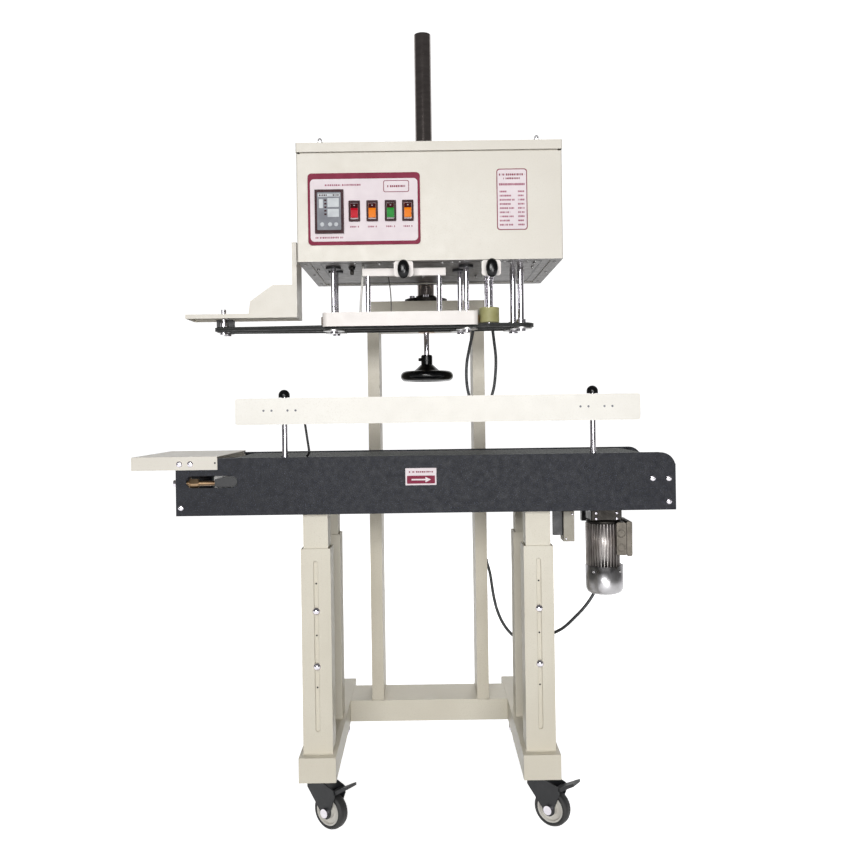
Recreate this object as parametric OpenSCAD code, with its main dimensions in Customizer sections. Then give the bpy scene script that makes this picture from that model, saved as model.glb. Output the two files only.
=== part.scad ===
// Continuous band sealer on a wheeled stand.
// X runs along the conveyor, Y from front to back, Z up. The origin is on the floor,
// under the middle of the bounding box.

/* [Stand] */
// Height of the casters, from the floor to the side rails
caster_h = 105; // [100:1:115]
// Width of a side rail
rail_w = 75; // [70:1:90]
// Height of a side rail
rail_h = 50; // [40:1:60]
// Length of a side rail with its end caps
rail_l = 535; // [520:1:560]
// Distance between the centre lines of the side rails
rail_pitch = 450; // [440:1:470]
// Side of a square leg sleeve
sleeve_w = 60; // [58:1:62]
// Height of the leg sleeves' tops above the floor
sleeve_top = 570; // [540:1:580]
// Distance between the two columns
column_pitch = 251; // [244:1:260]
// Width of a column, seen from the front
column_w = 28; // [26:1:34]
// Depth of a column
column_d = 120; // [110:1:122]
// Outer diameter of the mast
mast_d = 41; // [39:0.5:42]
// Height of the mast's top above the floor
mast_top = 1767; // [1750:1:1800]

/* [Conveyor] */
// Length of the conveyor's side panels
conveyor_l = 1001; // [996:1:1010]
// Depth of the conveyor
conveyor_d = 286; // [280:1:288]
// Height of the conveyor's side panels
panel_h = 115; // [112:1:118]
// Height of the panels' top edge above the floor
conveyor_top = 756; // [750:1:760]
// Width of the conveyor belt
belt_w = 250; // [240:1:250]
// Radius of the conveyor's rollers
roller_r = 42.7; // [42:0.1:42.7]
// Diameter of the conveyor motor's finned body
motor_d = 81; // [76:1:84]

/* [Head] */
// Length of the head's sheet metal box
head_l = 538; // [530:1:545]
// Depth of the head
head_d = 362; // [355:1:366]
// Height of the head with its lid
head_h = 241; // [237:1:245]
// Height of the head's underside above the floor
head_z = 1150; // [1148:1:1155]
// Distance between the front and the rear band wheels
wheel_gap = 54; // [54:0.5:56]
// Radius of a sealing band wheel
wheel_r = 26; // [25:0.5:26]
// Number of teeth on each spindle gear
gear_teeth = 27; // [25:2:31]

/* [Hidden] */
$fn = 48;

black = [0.06, 0.06, 0.07];
charcoal = [0.15, 0.16, 0.20];
cream = [0.91, 0.89, 0.84];
steel = [0.62, 0.62, 0.63];
chrome = [0.80, 0.80, 0.82];
maroon = [0.55, 0.22, 0.30];

wall = 3;
fit = 0.06;
seam = 0.05;

// Stand
rail_top = caster_h + rail_h;
rail_y = -5;
cap_t = 4;
leg_x = rail_pitch / 2;
front_leg_y = 45;
rear_leg_y = 252;
slot_w = 9;
slot_z = [200, 545];
clamp_z = [332, 444];
column_x = 4;
column_y = conveyor_d + 64;
beam_h = 68;
beam_z = 1040;
beam_top = beam_z + beam_h;
stand_x0 = column_x - column_pitch / 2 - column_w / 2;
stand_l = column_pitch + column_w;
mast_x = 6;
mast_y = column_y + column_d / 2;
mast_r = mast_d / 2;
mast_bore = 15;
collar_r = 27.5;
collar_z = [1160, 1340];
nut_z = [1195, 1235];
mast_flange_r = 52;
mast_flange_t = 10;
mast_bolt_pitch = 39;
screw_r = 7;
screw_top = 1745;
handwheel_r = 64.5;
handwheel_z = 930;
handwheel_tube = 12.5;

// Casters: the swivel axis is at the caster's own origin, the wheel trails along +X
wheel_d = 75;
wheel_w = 25;
axle_z = wheel_d / 2;
eye_r = 13;
axle_r = 6;
trail = 28;
fork_inner = 15.5;
fork_t = 2.5;
fork_top = 95.5;
pedal_x = 45;
pedal_z = 78;
caster_turn = -35;
front_caster_y = front_leg_y;
rear_caster_y = 490;
caster_places = [[-leg_x, front_caster_y, caster_turn], [leg_x, front_caster_y, caster_turn],
                 [-leg_x, rear_caster_y, 90], [leg_x, rear_caster_y, 90]];

// Conveyor
panel_t = 3;
panel_x0 = -501;
panel_x1 = panel_x0 + conveyor_l;
panel_z0 = conveyor_top - panel_h;
step_x = -417;
step_z = conveyor_top - 23;
panel_corner = 30;
slot_x = [-480, -377];
roller_z = conveyor_top - 47;
belt_t = 2;
belt_in = roller_r + 0.3;
belt_out = belt_in + belt_t;
belt_y0 = (conveyor_d - belt_w) / 2;
idler_x = -386;
drive_x = 440;
roller_y0 = belt_y0 + 2;
roller_l = belt_w - 4;
shaft_r = 8;
inner_leg_w = 50;
inner_leg_z = 192;
motor_x = 384;
motor_y = 152;
motor_r = motor_d / 2;
motor_z = [447, 506, 599];
terminal_low = [403, 114, 530];
terminal_high = [437.5, 190, 604];
output_z = 618;
sprocket_y = 271;
sprocket_r = 16;
roller_sprocket_r = 22;
rail_x = [-380, 431];
guide_z = [822, 875];
post_x = [-283, 337];
post_y = 10;
post_r = 5.75;

// From the stand's centre plane and the conveyor's front to the origin
infeed_x0 = -590;
pedal_reach = 38;
pedal_half = fork_inner - 0.5;
front_reach = (pedal_x + pedal_reach) * sin(-caster_turn) + pedal_half * cos(caster_turn) - front_caster_y;
origin_x = -(infeed_x0 + panel_x1) / 2;
origin_y = -(rail_y + rail_l - front_reach) / 2;

// Head
head_x0 = -254;
head_x1 = head_x0 + head_l;
head_y0 = 20;
head_y1 = head_y0 + head_d;
head_top = head_z + head_h;
lid_skirt = 19;
shell_top = head_top - lid_skirt - 3.5;
sheet = 2;
lid_nut_x = [-206.5, 234.5];
head_flange = 22;
plate_z = head_z + sheet;
plate_top = plate_z + 4;
front_y = 105;
rear_y = front_y + wheel_gap;
seal_y = (front_y + rear_y) / 2;
idler_wheel_x = -190;
drive_front_x = 91;
drive_rear_x = 80;
out_front_x = 206;
out_rear_x = 195;
in_x = -425;
in_r = 14;
in_pin_r = 4.9;
in_gap = 37.6;
spindle_r = 5.6;
out_spindle_r = 6.6;
spindle_z = 1013;
band_z = 1029;
band_w = 17;
band_in = wheel_r + 0.3;
band_out = band_in + 0.6;
pulley_z = 1018.5;
pulley_w = 9.5;
pulley_rim = 2.5;
pulley_r = 21.8;
guide_in = pulley_r + 0.4;
guide_out = guide_in + 4.4;
gear_z = 1160;
gear_w = 10;
gear_dx = drive_rear_x - drive_front_x;
gear_gap = norm([gear_dx, wheel_gap]);
gear_turn = atan2(wheel_gap, gear_dx);
block_x = [-150, 60];
block_z = [1029, 1048];
cover_x = [-210.5, 113];
cover_y = 62;
cover_z = [1023, 1052];
bar_x = [-126, 47];
bar_y = 66;
bar_z = [1126.5, 1142];
carriage_rod_x = [-115, 33];
carriage_rod_r = 5.3;
rear_rod_x = [-122, 35];
roller_x = 139.3;
press_r = 21.1;
press_z = [1031, 1062];
arm_z = [1129, 1143];
knob_z = 1131;
knob_x = [-39.5, 138.4];
knob_y = [-4, 16];
tray_x0 = -502;
tray_y = [93, 171];
tray_z = [1046, 1055];
arm_x = -266;
arm_top = 1204;
panel_x = [-231, -4];
panel_z = [1183, 1328];
control_x = -187.5;
control_z = 1250;
rocker_x = [-137, -101, -64, -29];
rocker_z = 1250.5;
rocker_y = 19;
rocker_rest = 8;

// Cables
cable_r = 3.5;
motor_cable_route = [[420, 197, 560], [420, 212, 556], [412, 222, 535], [396, 220, 492], [376, 214, 440],
                     [356, 213, 408], [332, 218, 380], [305, 240, 348], [276, 272, 325], [248, 297, 312],
                     [222, 310, 308], [200, 318, 314], [180, 330, 336], [166, 342, 366], [158, 352, 400],
                     [154, 360, 430], [150.5, 367, 455], [143.5, 372, 480]];
head_cable_route = [[158, 350, 1145.5], [158.5, 349, 1124], [160, 345, 1092], [162, 341, 1052], [166, 339, 1012],
                    [170, 338, 970], [168.5, 338, 930], [163, 338, 892], [150, 338, 860], [132, 338, 848],
                    [113, 338, 860], [103, 338, 890], [99.5, 338, 922], [101, 338, 958], [107, 338, 990],
                    [113, 339, 1016], [118, 341, 1040], [121, 350, 1062]];

module placed() {
    translate([origin_x, origin_y, 0]) children();
}

// A box given by its low and high corners
module block(low, high) {
    translate(low) cube(high - low);
}

// A cylinder along Y, from y0 to y1
module across(x, y0, y1, z, r) {
    translate([x, y1, z]) rotate([90, 0, 0]) cylinder(r = r, h = y1 - y0);
}

// A cylinder along X, from x0 to x1
module along(x0, x1, y, z, r) {
    translate([x0, y, z]) rotate([0, 90, 0]) cylinder(r = r, h = x1 - x0);
}

// An upright cylinder, from z0 to z1
module upright(x, y, z0, z1, r) {
    translate([x, y, z0]) cylinder(r = r, h = z1 - z0);
}

// A square with rounded corners, its low corner at the origin
module rounded(w, d, r) {
    translate([r, 0]) square([w - 2 * r, d]);
    translate([0, r]) square([w, d - 2 * r]);
    for (x = [r, w - r], y = [r, d - r]) translate([x, y]) circle(r);
}

// A disc stretched from x0 to x1, in the XY plane
module stretched_disc(x0, x1, y, r) {
    translate([x0, y - r]) square([x1 - x0, 2 * r]);
    for (x = [x0, x1]) translate([x, y]) circle(r);
}

// A round rod between two points
module rod(p, q, r) {
    v = q - p;
    translate(p) rotate([0, acos(v[2] / norm(v)), atan2(v[1], v[0])]) cylinder(r = r, h = norm(v));
}

// A domed head on the XY plane, with its shank below
module dome_bolt(r, h, shank_r, shank_l) {
    ball = (r * r + h * h) / (2 * h);
    intersection() {
        translate([0, 0, h - ball]) sphere(ball);
        cylinder(r = r, h = h);
    }
    translate([0, 0, -shank_l]) cylinder(r = shank_r, h = shank_l);
}

// ---- Swept cable ----

function unit(v) = v / norm(v);
function route_point(p, i) = p[max(0, min(len(p) - 1, i))];
function spline(p, i, t) = let (a = route_point(p, i - 1), b = route_point(p, i), c = route_point(p, i + 1),
    d = route_point(p, i + 2)) 0.5 * (2 * b + (c - a) * t + (2 * a - 5 * b + 4 * c - d) * t * t
    + (3 * b - a - 3 * c + d) * t * t * t);
function smooth(p, steps) = concat([for (i = [0:len(p) - 2], s = [0:steps - 1]) spline(p, i, s / steps)],
    [p[len(p) - 1]]);
function tangent(p, i) = unit(route_point(p, i + 1) - route_point(p, i - 1));
function carried(n, t) = unit(n - (n * t) * t);
function normals(p, i, n) = i == len(p) ? [] :
    let (m = carried(n, tangent(p, i))) concat([m], normals(p, i + 1, m));

module swept_tube(route, r, sides = 10) {
    path = smooth(route, 2);
    side = normals(path, 0, [0.2, 0.3, 1]);
    rings = len(path);
    points = [for (i = [0:rings - 1], k = [0:sides - 1])
        let (n = side[i], b = cross(tangent(path, i), n), a = 360 * k / sides)
        path[i] + r * (cos(a) * n + sin(a) * b)];
    skin = [for (i = [0:rings - 2], k = [0:sides - 1])
        let (j = (k + 1) % sides) [i * sides + k, (i + 1) * sides + k, (i + 1) * sides + j, i * sides + j]];
    start = [[for (k = [0:sides - 1]) k]];
    end = [[for (k = [0:sides - 1]) rings * sides - 1 - k]];
    polyhedron(points, concat(start, skin, end));
}

// ---- Stand ----

module side_rails() {
    color(steel) for (side = [-1, 1]) translate([side * leg_x - rail_w / 2, rail_y, caster_h]) {
        difference() {
            translate([0, cap_t + seam, 0]) cube([rail_w, rail_l - 2 * (cap_t + seam), rail_h]);
            translate([wall, 0, wall]) cube([rail_w - 2 * wall, rail_l, rail_h - 2 * wall]);
        }
        for (y = [0, rail_l - cap_t]) translate([0, y, 0]) cube([rail_w, cap_t, rail_h]);
    }
}

module leg_sleeve(x, y, facing) {
    half = sleeve_w / 2;
    difference() {
        block([x - half, y - half, rail_top], [x + half, y + half, sleeve_top]);
        block([x - half + wall, y - half + wall, rail_top - 1],
              [x + half - wall, y + half - wall, sleeve_top + 1]);
        for (z = slot_z) across(x, min(y, y + facing * half * 1.1), max(y, y + facing * half * 1.1),
            z + (z == slot_z[0] ? slot_w / 2 : -slot_w / 2), slot_w / 2);
        block([x - slot_w / 2, min(y, y + facing * half * 1.1), slot_z[0] + slot_w / 2],
              [x + slot_w / 2, max(y, y + facing * half * 1.1), slot_z[1] - slot_w / 2]);
    }
}

module leg_sleeves() {
    color(steel) for (side = [-1, 1]) {
        leg_sleeve(side * leg_x, front_leg_y, -1);
        leg_sleeve(side * leg_x, rear_leg_y, 1);
    }
}

module tube_x(low, high) {
    difference() {
        block(low, high);
        block([low[0] - 1, low[1] + wall, low[2] + wall], [high[0] + 1, high[1] - wall, high[2] - wall]);
    }
}

module column_frame() {
    inner = rail_pitch / 2 - rail_w / 2;
    color(steel) {
        tube_x([-inner, column_y, caster_h], [inner, column_y + column_d, rail_top]);
        for (side = [-1, 1]) column(column_x + side * column_pitch / 2);
        difference() {
            tube_x([stand_x0, column_y, beam_z], [stand_x0 + stand_l, column_y + column_d, beam_top]);
            upright(mast_x, mast_y, beam_z - 1, beam_z + 10, 14);
            upright(mast_x, mast_y, beam_top - 10, beam_top + 1, screw_r + 1);
            mast_bolt_ring(beam_top - 10, beam_top + 1, 4 + fit);
        }
        for (x = [stand_x0 - sheet - seam, stand_x0 + stand_l + seam])
            block([x, column_y, beam_z], [x + sheet, column_y + column_d, beam_top]);
    }
    color("darkgoldenrod") difference() {
        union() {
            upright(mast_x, mast_y, beam_z - 4, beam_z - seam, 20);
            upright(mast_x, mast_y, beam_z - 1, beam_z + 20, 14 - fit);
        }
        upright(mast_x, mast_y, beam_z - 5, beam_z + 21, screw_r + fit);
    }
}

module column(x) {
    half = column_w / 2;
    difference() {
        block([x - half, column_y, rail_top + seam], [x + half, column_y + column_d, beam_z - seam]);
        block([x - half + wall, column_y + wall, rail_top - 1],
              [x + half - wall, column_y + column_d - wall, beam_z + 1]);
    }
}

module mast_bolt_ring(z0, z1, r) {
    for (a = [30:60:330])
        upright(mast_x + mast_bolt_pitch * cos(a), mast_y + mast_bolt_pitch * sin(a), z0, z1, r);
}

module mast() {
    flange_top = beam_top + mast_flange_t;
    color(chrome) difference() {
        union() {
            upright(mast_x, mast_y, beam_top, flange_top, mast_flange_r);
            upright(mast_x, mast_y, flange_top, flange_top + 8, mast_r + 4);
            upright(mast_x, mast_y, flange_top, mast_top, mast_r);
        }
        upright(mast_x, mast_y, beam_top - 1, mast_top - 5, mast_bore);
        mast_bolt_ring(beam_top - 1, flange_top + 1, 4 + fit);
        block([mast_x - 4.5, mast_y, 1160], [mast_x + 4.5, mast_y + mast_r + 1, 1490]);
    }
    color(steel) {
        mast_bolt_ring(beam_top - wall, flange_top + 1, 4);
        mast_bolt_ring(flange_top + seam, flange_top + 7, 6.5);
    }
}

module lead_screw() {
    color(chrome) {
        upright(mast_x, mast_y, handwheel_z - 10, screw_top, screw_r);
        upright(mast_x, mast_y, beam_z + 20.5, beam_z + 28, 12);
    }
}

module handwheel() {
    ring_r = handwheel_r - handwheel_tube;
    hub_top = handwheel_z + 52;
    color(black) translate([mast_x, mast_y, 0]) {
        translate([0, 0, handwheel_z]) rotate_extrude($fn = 64) translate([ring_r, 0]) circle(handwheel_tube);
        rotate_extrude($fn = 64) polygon([[screw_r + fit, handwheel_z + 6], [ring_r - 6, handwheel_z - 2],
            [ring_r - 2, handwheel_z + 6], [33, handwheel_z + 12], [14, handwheel_z + 29], [14, hub_top - 3],
            [12, hub_top], [screw_r + fit, hub_top]]);
    }
}

// ---- Casters ----

module at_caster(i) {
    p = caster_places[i];
    placed() translate([p[0], p[1], 0]) rotate([0, 0, p[2]]) children();
}

module cheek(lead, braked) {
    shape = braked
        ? [[-20, fork_top], [24, fork_top], [50, 86], [52, 72], [lead + eye_r, axle_z + 6],
           [lead + eye_r, axle_z], [lead - eye_r, axle_z], [-20, 80]]
        : [[-24, fork_top], [24, fork_top], [24, 80], [eye_r, axle_z], [-eye_r, axle_z], [-24, 80]];
    rotate([90, 0, 0]) linear_extrude(fork_t) difference() {
        union() {
            polygon(shape);
            translate([lead, axle_z]) circle(eye_r);
        }
        translate([lead, axle_z]) circle(axle_r + fit);
        if (braked) translate([pedal_x, pedal_z]) circle(3);
    }
}

module caster_fork(lead, braked) {
    outer = fork_inner + fork_t;
    difference() {
        union() {
            for (y = [-fork_inner, outer]) translate([0, y, 0]) cheek(lead, braked);
            block([-20, -outer, fork_top - 2.5], [24, outer, fork_top]);
            upright(0, 0, fork_top - 2.5, fork_top, 24);
        }
        upright(0, 0, fork_top - 5, fork_top + 1, axle_r + fit);
    }
    across(lead, -outer, outer, axle_z, axle_r);
    for (y = [-outer - 5, outer]) across(lead, y, y + 5, axle_z, 9);
    if (braked) across(pedal_x, -outer, outer, pedal_z, 3);
}

module swivel_fork() {
    color(black) caster_fork(trail, true);
}

module caster_wheel(lead) {
    half = wheel_w / 2;
    r = wheel_d / 2;
    rim_r = 28;
    translate([lead, 0, r]) rotate([90, 0, 0]) {
        color(black) rotate_extrude($fn = 64)
            polygon([[rim_r, -half + 1], [r - 5, -half], [r - 1.5, -half + 3.5], [r, -half + 8], [r, half - 8],
                     [r - 1.5, half - 3.5], [r - 5, half], [rim_r, half - 1]]);
        color(cream) rotate_extrude($fn = 64)
            polygon([[axle_r + fit, -14.5], [13, -14.5], [14, -6], [24, -6], [25, -half + 1],
                     [rim_r, -half + 1], [rim_r, half - 1], [25, half - 1], [24, 6], [14, 6],
                     [13, 14.5], [axle_r + fit, 14.5]]);
    }
}

module brake_pedal() {
    width = 2 * pedal_half;
    color(black) difference() {
        union() {
            across(pedal_x, -width / 2, width / 2, pedal_z, 5.5);
            translate([pedal_x, width / 2, pedal_z]) rotate([90, 0, 0]) linear_extrude(width)
                polygon([[0, 5], [12, 10], [29, 19], [pedal_reach, 23], [pedal_reach, 17], [29, 12],
                         [13, 2], [0, -5]]);
        }
        across(pedal_x, -width, width, pedal_z, 3 + fit);
    }
}

module caster_mounts() {
    color(steel) for (side = [-1, 1]) translate([side * leg_x, front_caster_y, 0]) {
        block([-33, -33, caster_h - 3], [33, 33, caster_h]);
        upright(0, 0, fork_top + 0.5, caster_h - 3, 21);
        upright(0, 0, fork_top - 7, fork_top + 0.5, axle_r);
        upright(0, 0, fork_top - 11, fork_top - 7, 10);
    }
    for (side = [-1, 1]) translate([side * leg_x, rear_caster_y, 0]) {
        color(steel) block([-33, -33, caster_h - 3], [33, 33, caster_h]);
        color(steel) block([-22, -18, fork_top], [22, 18, caster_h - 3]);
        color(black) rotate([0, 0, 90]) caster_fork(0, false);
    }
}

// ---- Conveyor ----

module panel_outline() {
    difference() {
        union() {
            translate([panel_x0, panel_z0]) square([conveyor_l, step_z - panel_z0]);
            translate([step_x, panel_z0]) square([panel_x1 - panel_corner - step_x, panel_h]);
            translate([step_x, panel_z0]) square([panel_x1 - step_x, panel_h - panel_corner]);
            translate([panel_x1 - panel_corner, conveyor_top - panel_corner]) circle(panel_corner);
        }
        translate([slot_x[0] + 12, roller_z - 12]) square([slot_x[1] - slot_x[0] - 24, 24]);
        for (x = [slot_x[0] + 12, slot_x[1] - 12]) translate([x, roller_z]) circle(12);
    }
}

// The front panel, folded in along its top and bottom edges
module side_panel(chain_gap) {
    translate([0, panel_t, 0]) rotate([90, 0, 0]) linear_extrude(panel_t) panel_outline();
    difference() {
        block([panel_x0, panel_t, panel_z0], [panel_x1 - panel_t, 28, panel_z0 + panel_t]);
        if (chain_gap) block([366, panel_t, panel_z0 - 1], [436, 21, panel_z0 + 4]);
    }
    difference() {
        block([step_x, panel_t, conveyor_top - panel_t], [panel_x1 - panel_corner, 17, conveyor_top]);
        for (x = post_x) upright(x, post_y, conveyor_top - 5, conveyor_top + 1, post_r + fit);
    }
    block([panel_x0, panel_t, step_z - panel_t], [step_x - 20, 17, step_z]);
}

module side_panels() {
    color(charcoal) {
        side_panel(false);
        translate([0, conveyor_d, 0]) mirror([0, 1, 0]) side_panel(true);
    }
}

// A tensioner: a block that holds the idler's axle, its threaded rod, nut and outer head
module tensioner() {
    rod_x0 = panel_x0 - 1;
    color(black) difference() {
        translate([0, 16, 0]) rotate([90, 0, 0]) linear_extrude(12)
            polygon([[-424, roller_z - 10], [-375, roller_z - 11], [-375, roller_z + 11], [-385, roller_z + 12],
                     [-424, roller_z + 5]]);
        across(idler_x, 0, 20, roller_z, shaft_r + fit);
        along(-430, -405, 9.5, roller_z - 3, 4.5);
    }
    color("darkgoldenrod") {
        along(rod_x0, -405, 9.5, roller_z - 3, 4.5 - fit);
        translate([-466, 9.5, roller_z - 3]) rotate([0, 90, 0]) difference() {
            cylinder(r = 8, h = 10, $fn = 6);
            translate([0, 0, -1]) cylinder(r = 4.5, h = 12);
        }
        along(rod_x0 - 5, rod_x0, 9.5, roller_z - 3, 7);
    }
}

module conveyor_frame() {
    back = conveyor_d - panel_t;
    bed_z = roller_z + belt_in - 0.4;
    color(steel) {
        block([-365, panel_t, bed_z - 3], [420, back, bed_z]);
        for (x = [-leg_x, leg_x]) block([x - 25, panel_t, panel_z0 + panel_t], [x + 25, back, panel_z0 + 17]);
        difference() {
            block([325, panel_t, panel_z0 + panel_t], [445, conveyor_d - 24, panel_z0 + 7]);
            upright(motor_x, motor_y, panel_z0, panel_z0 + 8, 20);
        }
        across(idler_x, 1, conveyor_d - 1, roller_z, shaft_r);
    }
    color(charcoal) {
        block([panel_x1 - panel_t, panel_t, panel_z0], [panel_x1, back, conveyor_top - panel_corner]);
        difference() {
            block([panel_x0, panel_t, panel_z0 + panel_t], [panel_x0 + panel_t, back, step_z - panel_t]);
            for (y = [9.5, conveyor_d - 9.5]) along(panel_x0 - 1, panel_x0 + 4, y, roller_z - 3, 4.5);
        }
        difference() {
            for (y = [panel_t, conveyor_d - panel_t - 6]) across(drive_x, y, y + 6, roller_z, 18);
            across(drive_x, panel_t - 1, conveyor_d, roller_z, shaft_r + fit);
        }
    }
    tensioner();
    translate([0, conveyor_d, 0]) mirror([0, 1, 0]) tensioner();
}

module inner_leg(x, y, facing) {
    half = inner_leg_w / 2;
    face = y + facing * sleeve_w / 2;
    back = y + facing * (half - wall - 2);
    color(steel) difference() {
        block([x - half, y - half, inner_leg_z], [x + half, y + half, panel_z0]);
        block([x - half + wall, y - half + wall, inner_leg_z - 1],
              [x + half - wall, y + half - wall, panel_z0 - 4]);
        for (z = clamp_z) across(x, min(y, face), max(y, face), z, 4 + fit);
    }
    color(chrome) for (z = clamp_z) translate([x, face + facing * 0.4, z]) rotate([-facing * 90, 0, 0])
        dome_bolt(7.5, 4.5, 4, abs(face + facing * 0.4 - back));
}

module inner_legs() {
    for (side = [-1, 1]) {
        inner_leg(side * leg_x, front_leg_y, -1);
        inner_leg(side * leg_x, rear_leg_y, 1);
    }
}

module infeed_plate() {
    x0 = infeed_x0;
    top = conveyor_top + 4;
    color(cream) {
        block([x0, 0, top - sheet], [step_x, conveyor_d, top]);
        for (y = [0, conveyor_d - sheet]) block([x0, y, step_z], [step_x, y + sheet, top - sheet]);
        block([x0, sheet, step_z], [x0 + sheet, conveyor_d - sheet, top - sheet]);
    }
}

module conveyor_belt() {
    color([0.16, 0.18, 0.16]) translate([0, belt_y0 + belt_w, 0]) rotate([90, 0, 0]) linear_extrude(belt_w)
        difference() {
            stretched_disc(idler_x, drive_x, roller_z, belt_out);
            stretched_disc(idler_x, drive_x, roller_z, belt_in);
        }
}

// A tube with a drilled disc in each end
module roller_tube(x) {
    tube_wall = 4;
    difference() {
        across(x, roller_y0, roller_y0 + roller_l, roller_z, roller_r);
        across(x, roller_y0 + 6, roller_y0 + roller_l - 6, roller_z, roller_r - tube_wall);
        for (a = [0:60:300])
            across(x + 24 * cos(a), roller_y0 - 1, roller_y0 + roller_l + 1, roller_z + 24 * sin(a), 8);
    }
}

module drive_roller() {
    color(steel) {
        roller_tube(drive_x);
        across(drive_x, panel_t + 0.5, conveyor_d - panel_t - 0.5, roller_z, shaft_r);
        across(drive_x, sprocket_y, sprocket_y + 4, roller_z, roller_sprocket_r);
    }
}

module idler_roller() {
    color(steel) difference() {
        roller_tube(idler_x);
        across(idler_x, 0, conveyor_d, roller_z, shaft_r + fit);
    }
}

module gearmotor() {
    cowl = motor_z[0];
    flange_z = motor_z[2] + 6;
    color([0.75, 0.76, 0.78]) {
        upright(motor_x, motor_y, cowl, motor_z[1], motor_r);
        upright(motor_x, motor_y, motor_z[1], motor_z[2], motor_r - 1.5);
        block(terminal_low, terminal_high);
        upright(motor_x, motor_y, motor_z[2], flange_z, 30);
    }
    color([0.3, 0.3, 0.32]) difference() {
        union() {
            block([motor_x - 33, motor_y - 33, flange_z], [motor_x + 33, motor_y + 33, 632]);
            block([motor_x - 45, motor_y - 45, 632], [motor_x + 45, motor_y + 45, panel_z0 + panel_t]);
        }
        across(motor_x, motor_y, motor_y + 34, output_z, axle_r + fit);
    }
    color(black) across(420, terminal_high[1], 196, 560, 7);
}

module motor_sprocket() {
    color(steel) {
        across(motor_x, motor_y + 2, sprocket_y + 4, output_z, axle_r);
        across(motor_x, sprocket_y, sprocket_y + 4, output_z, sprocket_r);
    }
}

module chain_outline(grow) {
    hull() {
        translate([motor_x, output_z]) circle(sprocket_r + grow, $fn = 32);
        translate([drive_x, roller_z]) circle(roller_sprocket_r + grow, $fn = 32);
    }
}

module chain_drive() {
    color(steel) translate([0, sprocket_y + 4, 0]) rotate([90, 0, 0]) linear_extrude(4) difference() {
        chain_outline(3.4);
        chain_outline(0.5);
    }
    color(charcoal) difference() {
        block([356, 264, 588], [428, conveyor_d - panel_t, panel_z0]);
        block([356 + sheet, 264 + sheet, 588 + sheet],
              [428 - sheet, conveyor_d - panel_t - sheet, panel_z0 + 1]);
        across(motor_x, 260, 270, output_z, axle_r + 1);
    }
}

module junction_box() {
    color(cream) block([283, 60, 571], [305.5, 105, 634]);
    color(black) block([262, 72, 583], [283, 75, panel_z0]);
}

module guide_posts() {
    for (x = post_x) color(chrome) {
        upright(x, post_y, conveyor_top - panel_t - 0.8, 884, post_r);
        upright(x, post_y, conveyor_top, conveyor_top + 5, 6.9);
    }
    foot = [-239, 13, conveyor_top + 1.6];
    bend = [-235, 19, conveyor_top + 9];
    color(black) {
        rod(foot, bend, 2.4);
        translate(bend) sphere(2.8);
        rod(bend, [-248, 19, 858], 2.4);
    }
}

module guide_rail() {
    height = guide_z[1] - guide_z[0];
    color(cream) {
        translate([rail_x[0], 1, guide_z[0]]) rotate([90, 0, 0]) linear_extrude(sheet)
            rounded(rail_x[1] - rail_x[0], height, 5);
        for (z = [guide_z[0], guide_z[1] - sheet]) difference() {
            block([rail_x[0] + 6, 1, z], [rail_x[1] - 6, 16, z + sheet]);
            for (x = post_x) upright(x, post_y, z - 1, z + 3, post_r + 0.4);
        }
    }
    color(steel) for (x = post_x) difference() {
        block([x - 10, 1, 838], [x + 10, 20, 858]);
        upright(x, post_y, 837, 859, post_r + fit);
    }
}

module guide_knob(x) {
    color(black) translate([x, post_y, 876]) difference() {
        union() {
            cylinder(r = 11.5, h = 5);
            translate([0, 0, 5]) dome_bolt(11.5, 11, 5, 1);
        }
        translate([0, 0, -1]) cylinder(r = post_r + fit, h = 10);
    }
}

// ---- Head ----

module ring(low, high, t, z0, z1, r) {
    w = high[0] - low[0];
    d = high[1] - low[1];
    translate([low[0], low[1], z0]) linear_extrude(z1 - z0) difference() {
        rounded(w, d, r);
        translate([t, t]) square([w - 2 * t, d - 2 * t]);
    }
}

module head_shell() {
    low = [head_x0, head_y0];
    high = [head_x1, head_y1];
    color(cream) difference() {
        union() {
            ring(low, high, head_flange, head_z, head_z + sheet, 3);
            ring(low, high, sheet, head_z + sheet, shell_top - sheet, 3);
            ring(low, high, 16, shell_top - sheet, shell_top, 3);
        }
        block([panel_x[0] + 8, head_y0 - 1, panel_z[0] + 10], [panel_x[1] - 8, head_y0 + 3, panel_z[1] - 14]);
        block([200, head_y1 - 3, 1180], [227, head_y1 + 1, 1200]);
    }
    color(black) {
        block([195, head_y1, 1175], [232, head_y1 + 3, 1205]);
        block([201, head_y1 - 20, 1181], [226, head_y1, 1199]);
    }
}

module head_lid() {
    low = [head_x0 - 1, head_y0 - 1];
    high = [head_x1 + 1, head_y1 + 1];
    color(cream) {
        translate([low[0], low[1], head_top - sheet]) linear_extrude(sheet)
            rounded(high[0] - low[0], high[1] - low[1], 3);
        ring(low, high, sheet, head_top - lid_skirt, head_top - sheet, 3);
        ring(low + [7, 7], high - [7, 7], sheet, shell_top, head_top - sheet, 3);
    }
    color(chrome) for (x = lid_nut_x, y = [head_y0 + 12, head_y1 - 12]) translate([x, y, head_top]) {
        cylinder(r = 5.5, h = 5, $fn = 6);
        translate([0, 0, 5]) cylinder(r = 4.6, h = 3);
        translate([0, 0, 8]) dome_bolt(4.6, 4.5, 2, 1);
    }
}

module spindle_holes(z0, z1, r) {
    for (p = [[idler_wheel_x, front_y], [idler_wheel_x, rear_y], [drive_front_x, front_y],
              [drive_rear_x, rear_y]])
        upright(p[0], p[1], z0, z1, r);
}

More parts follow.
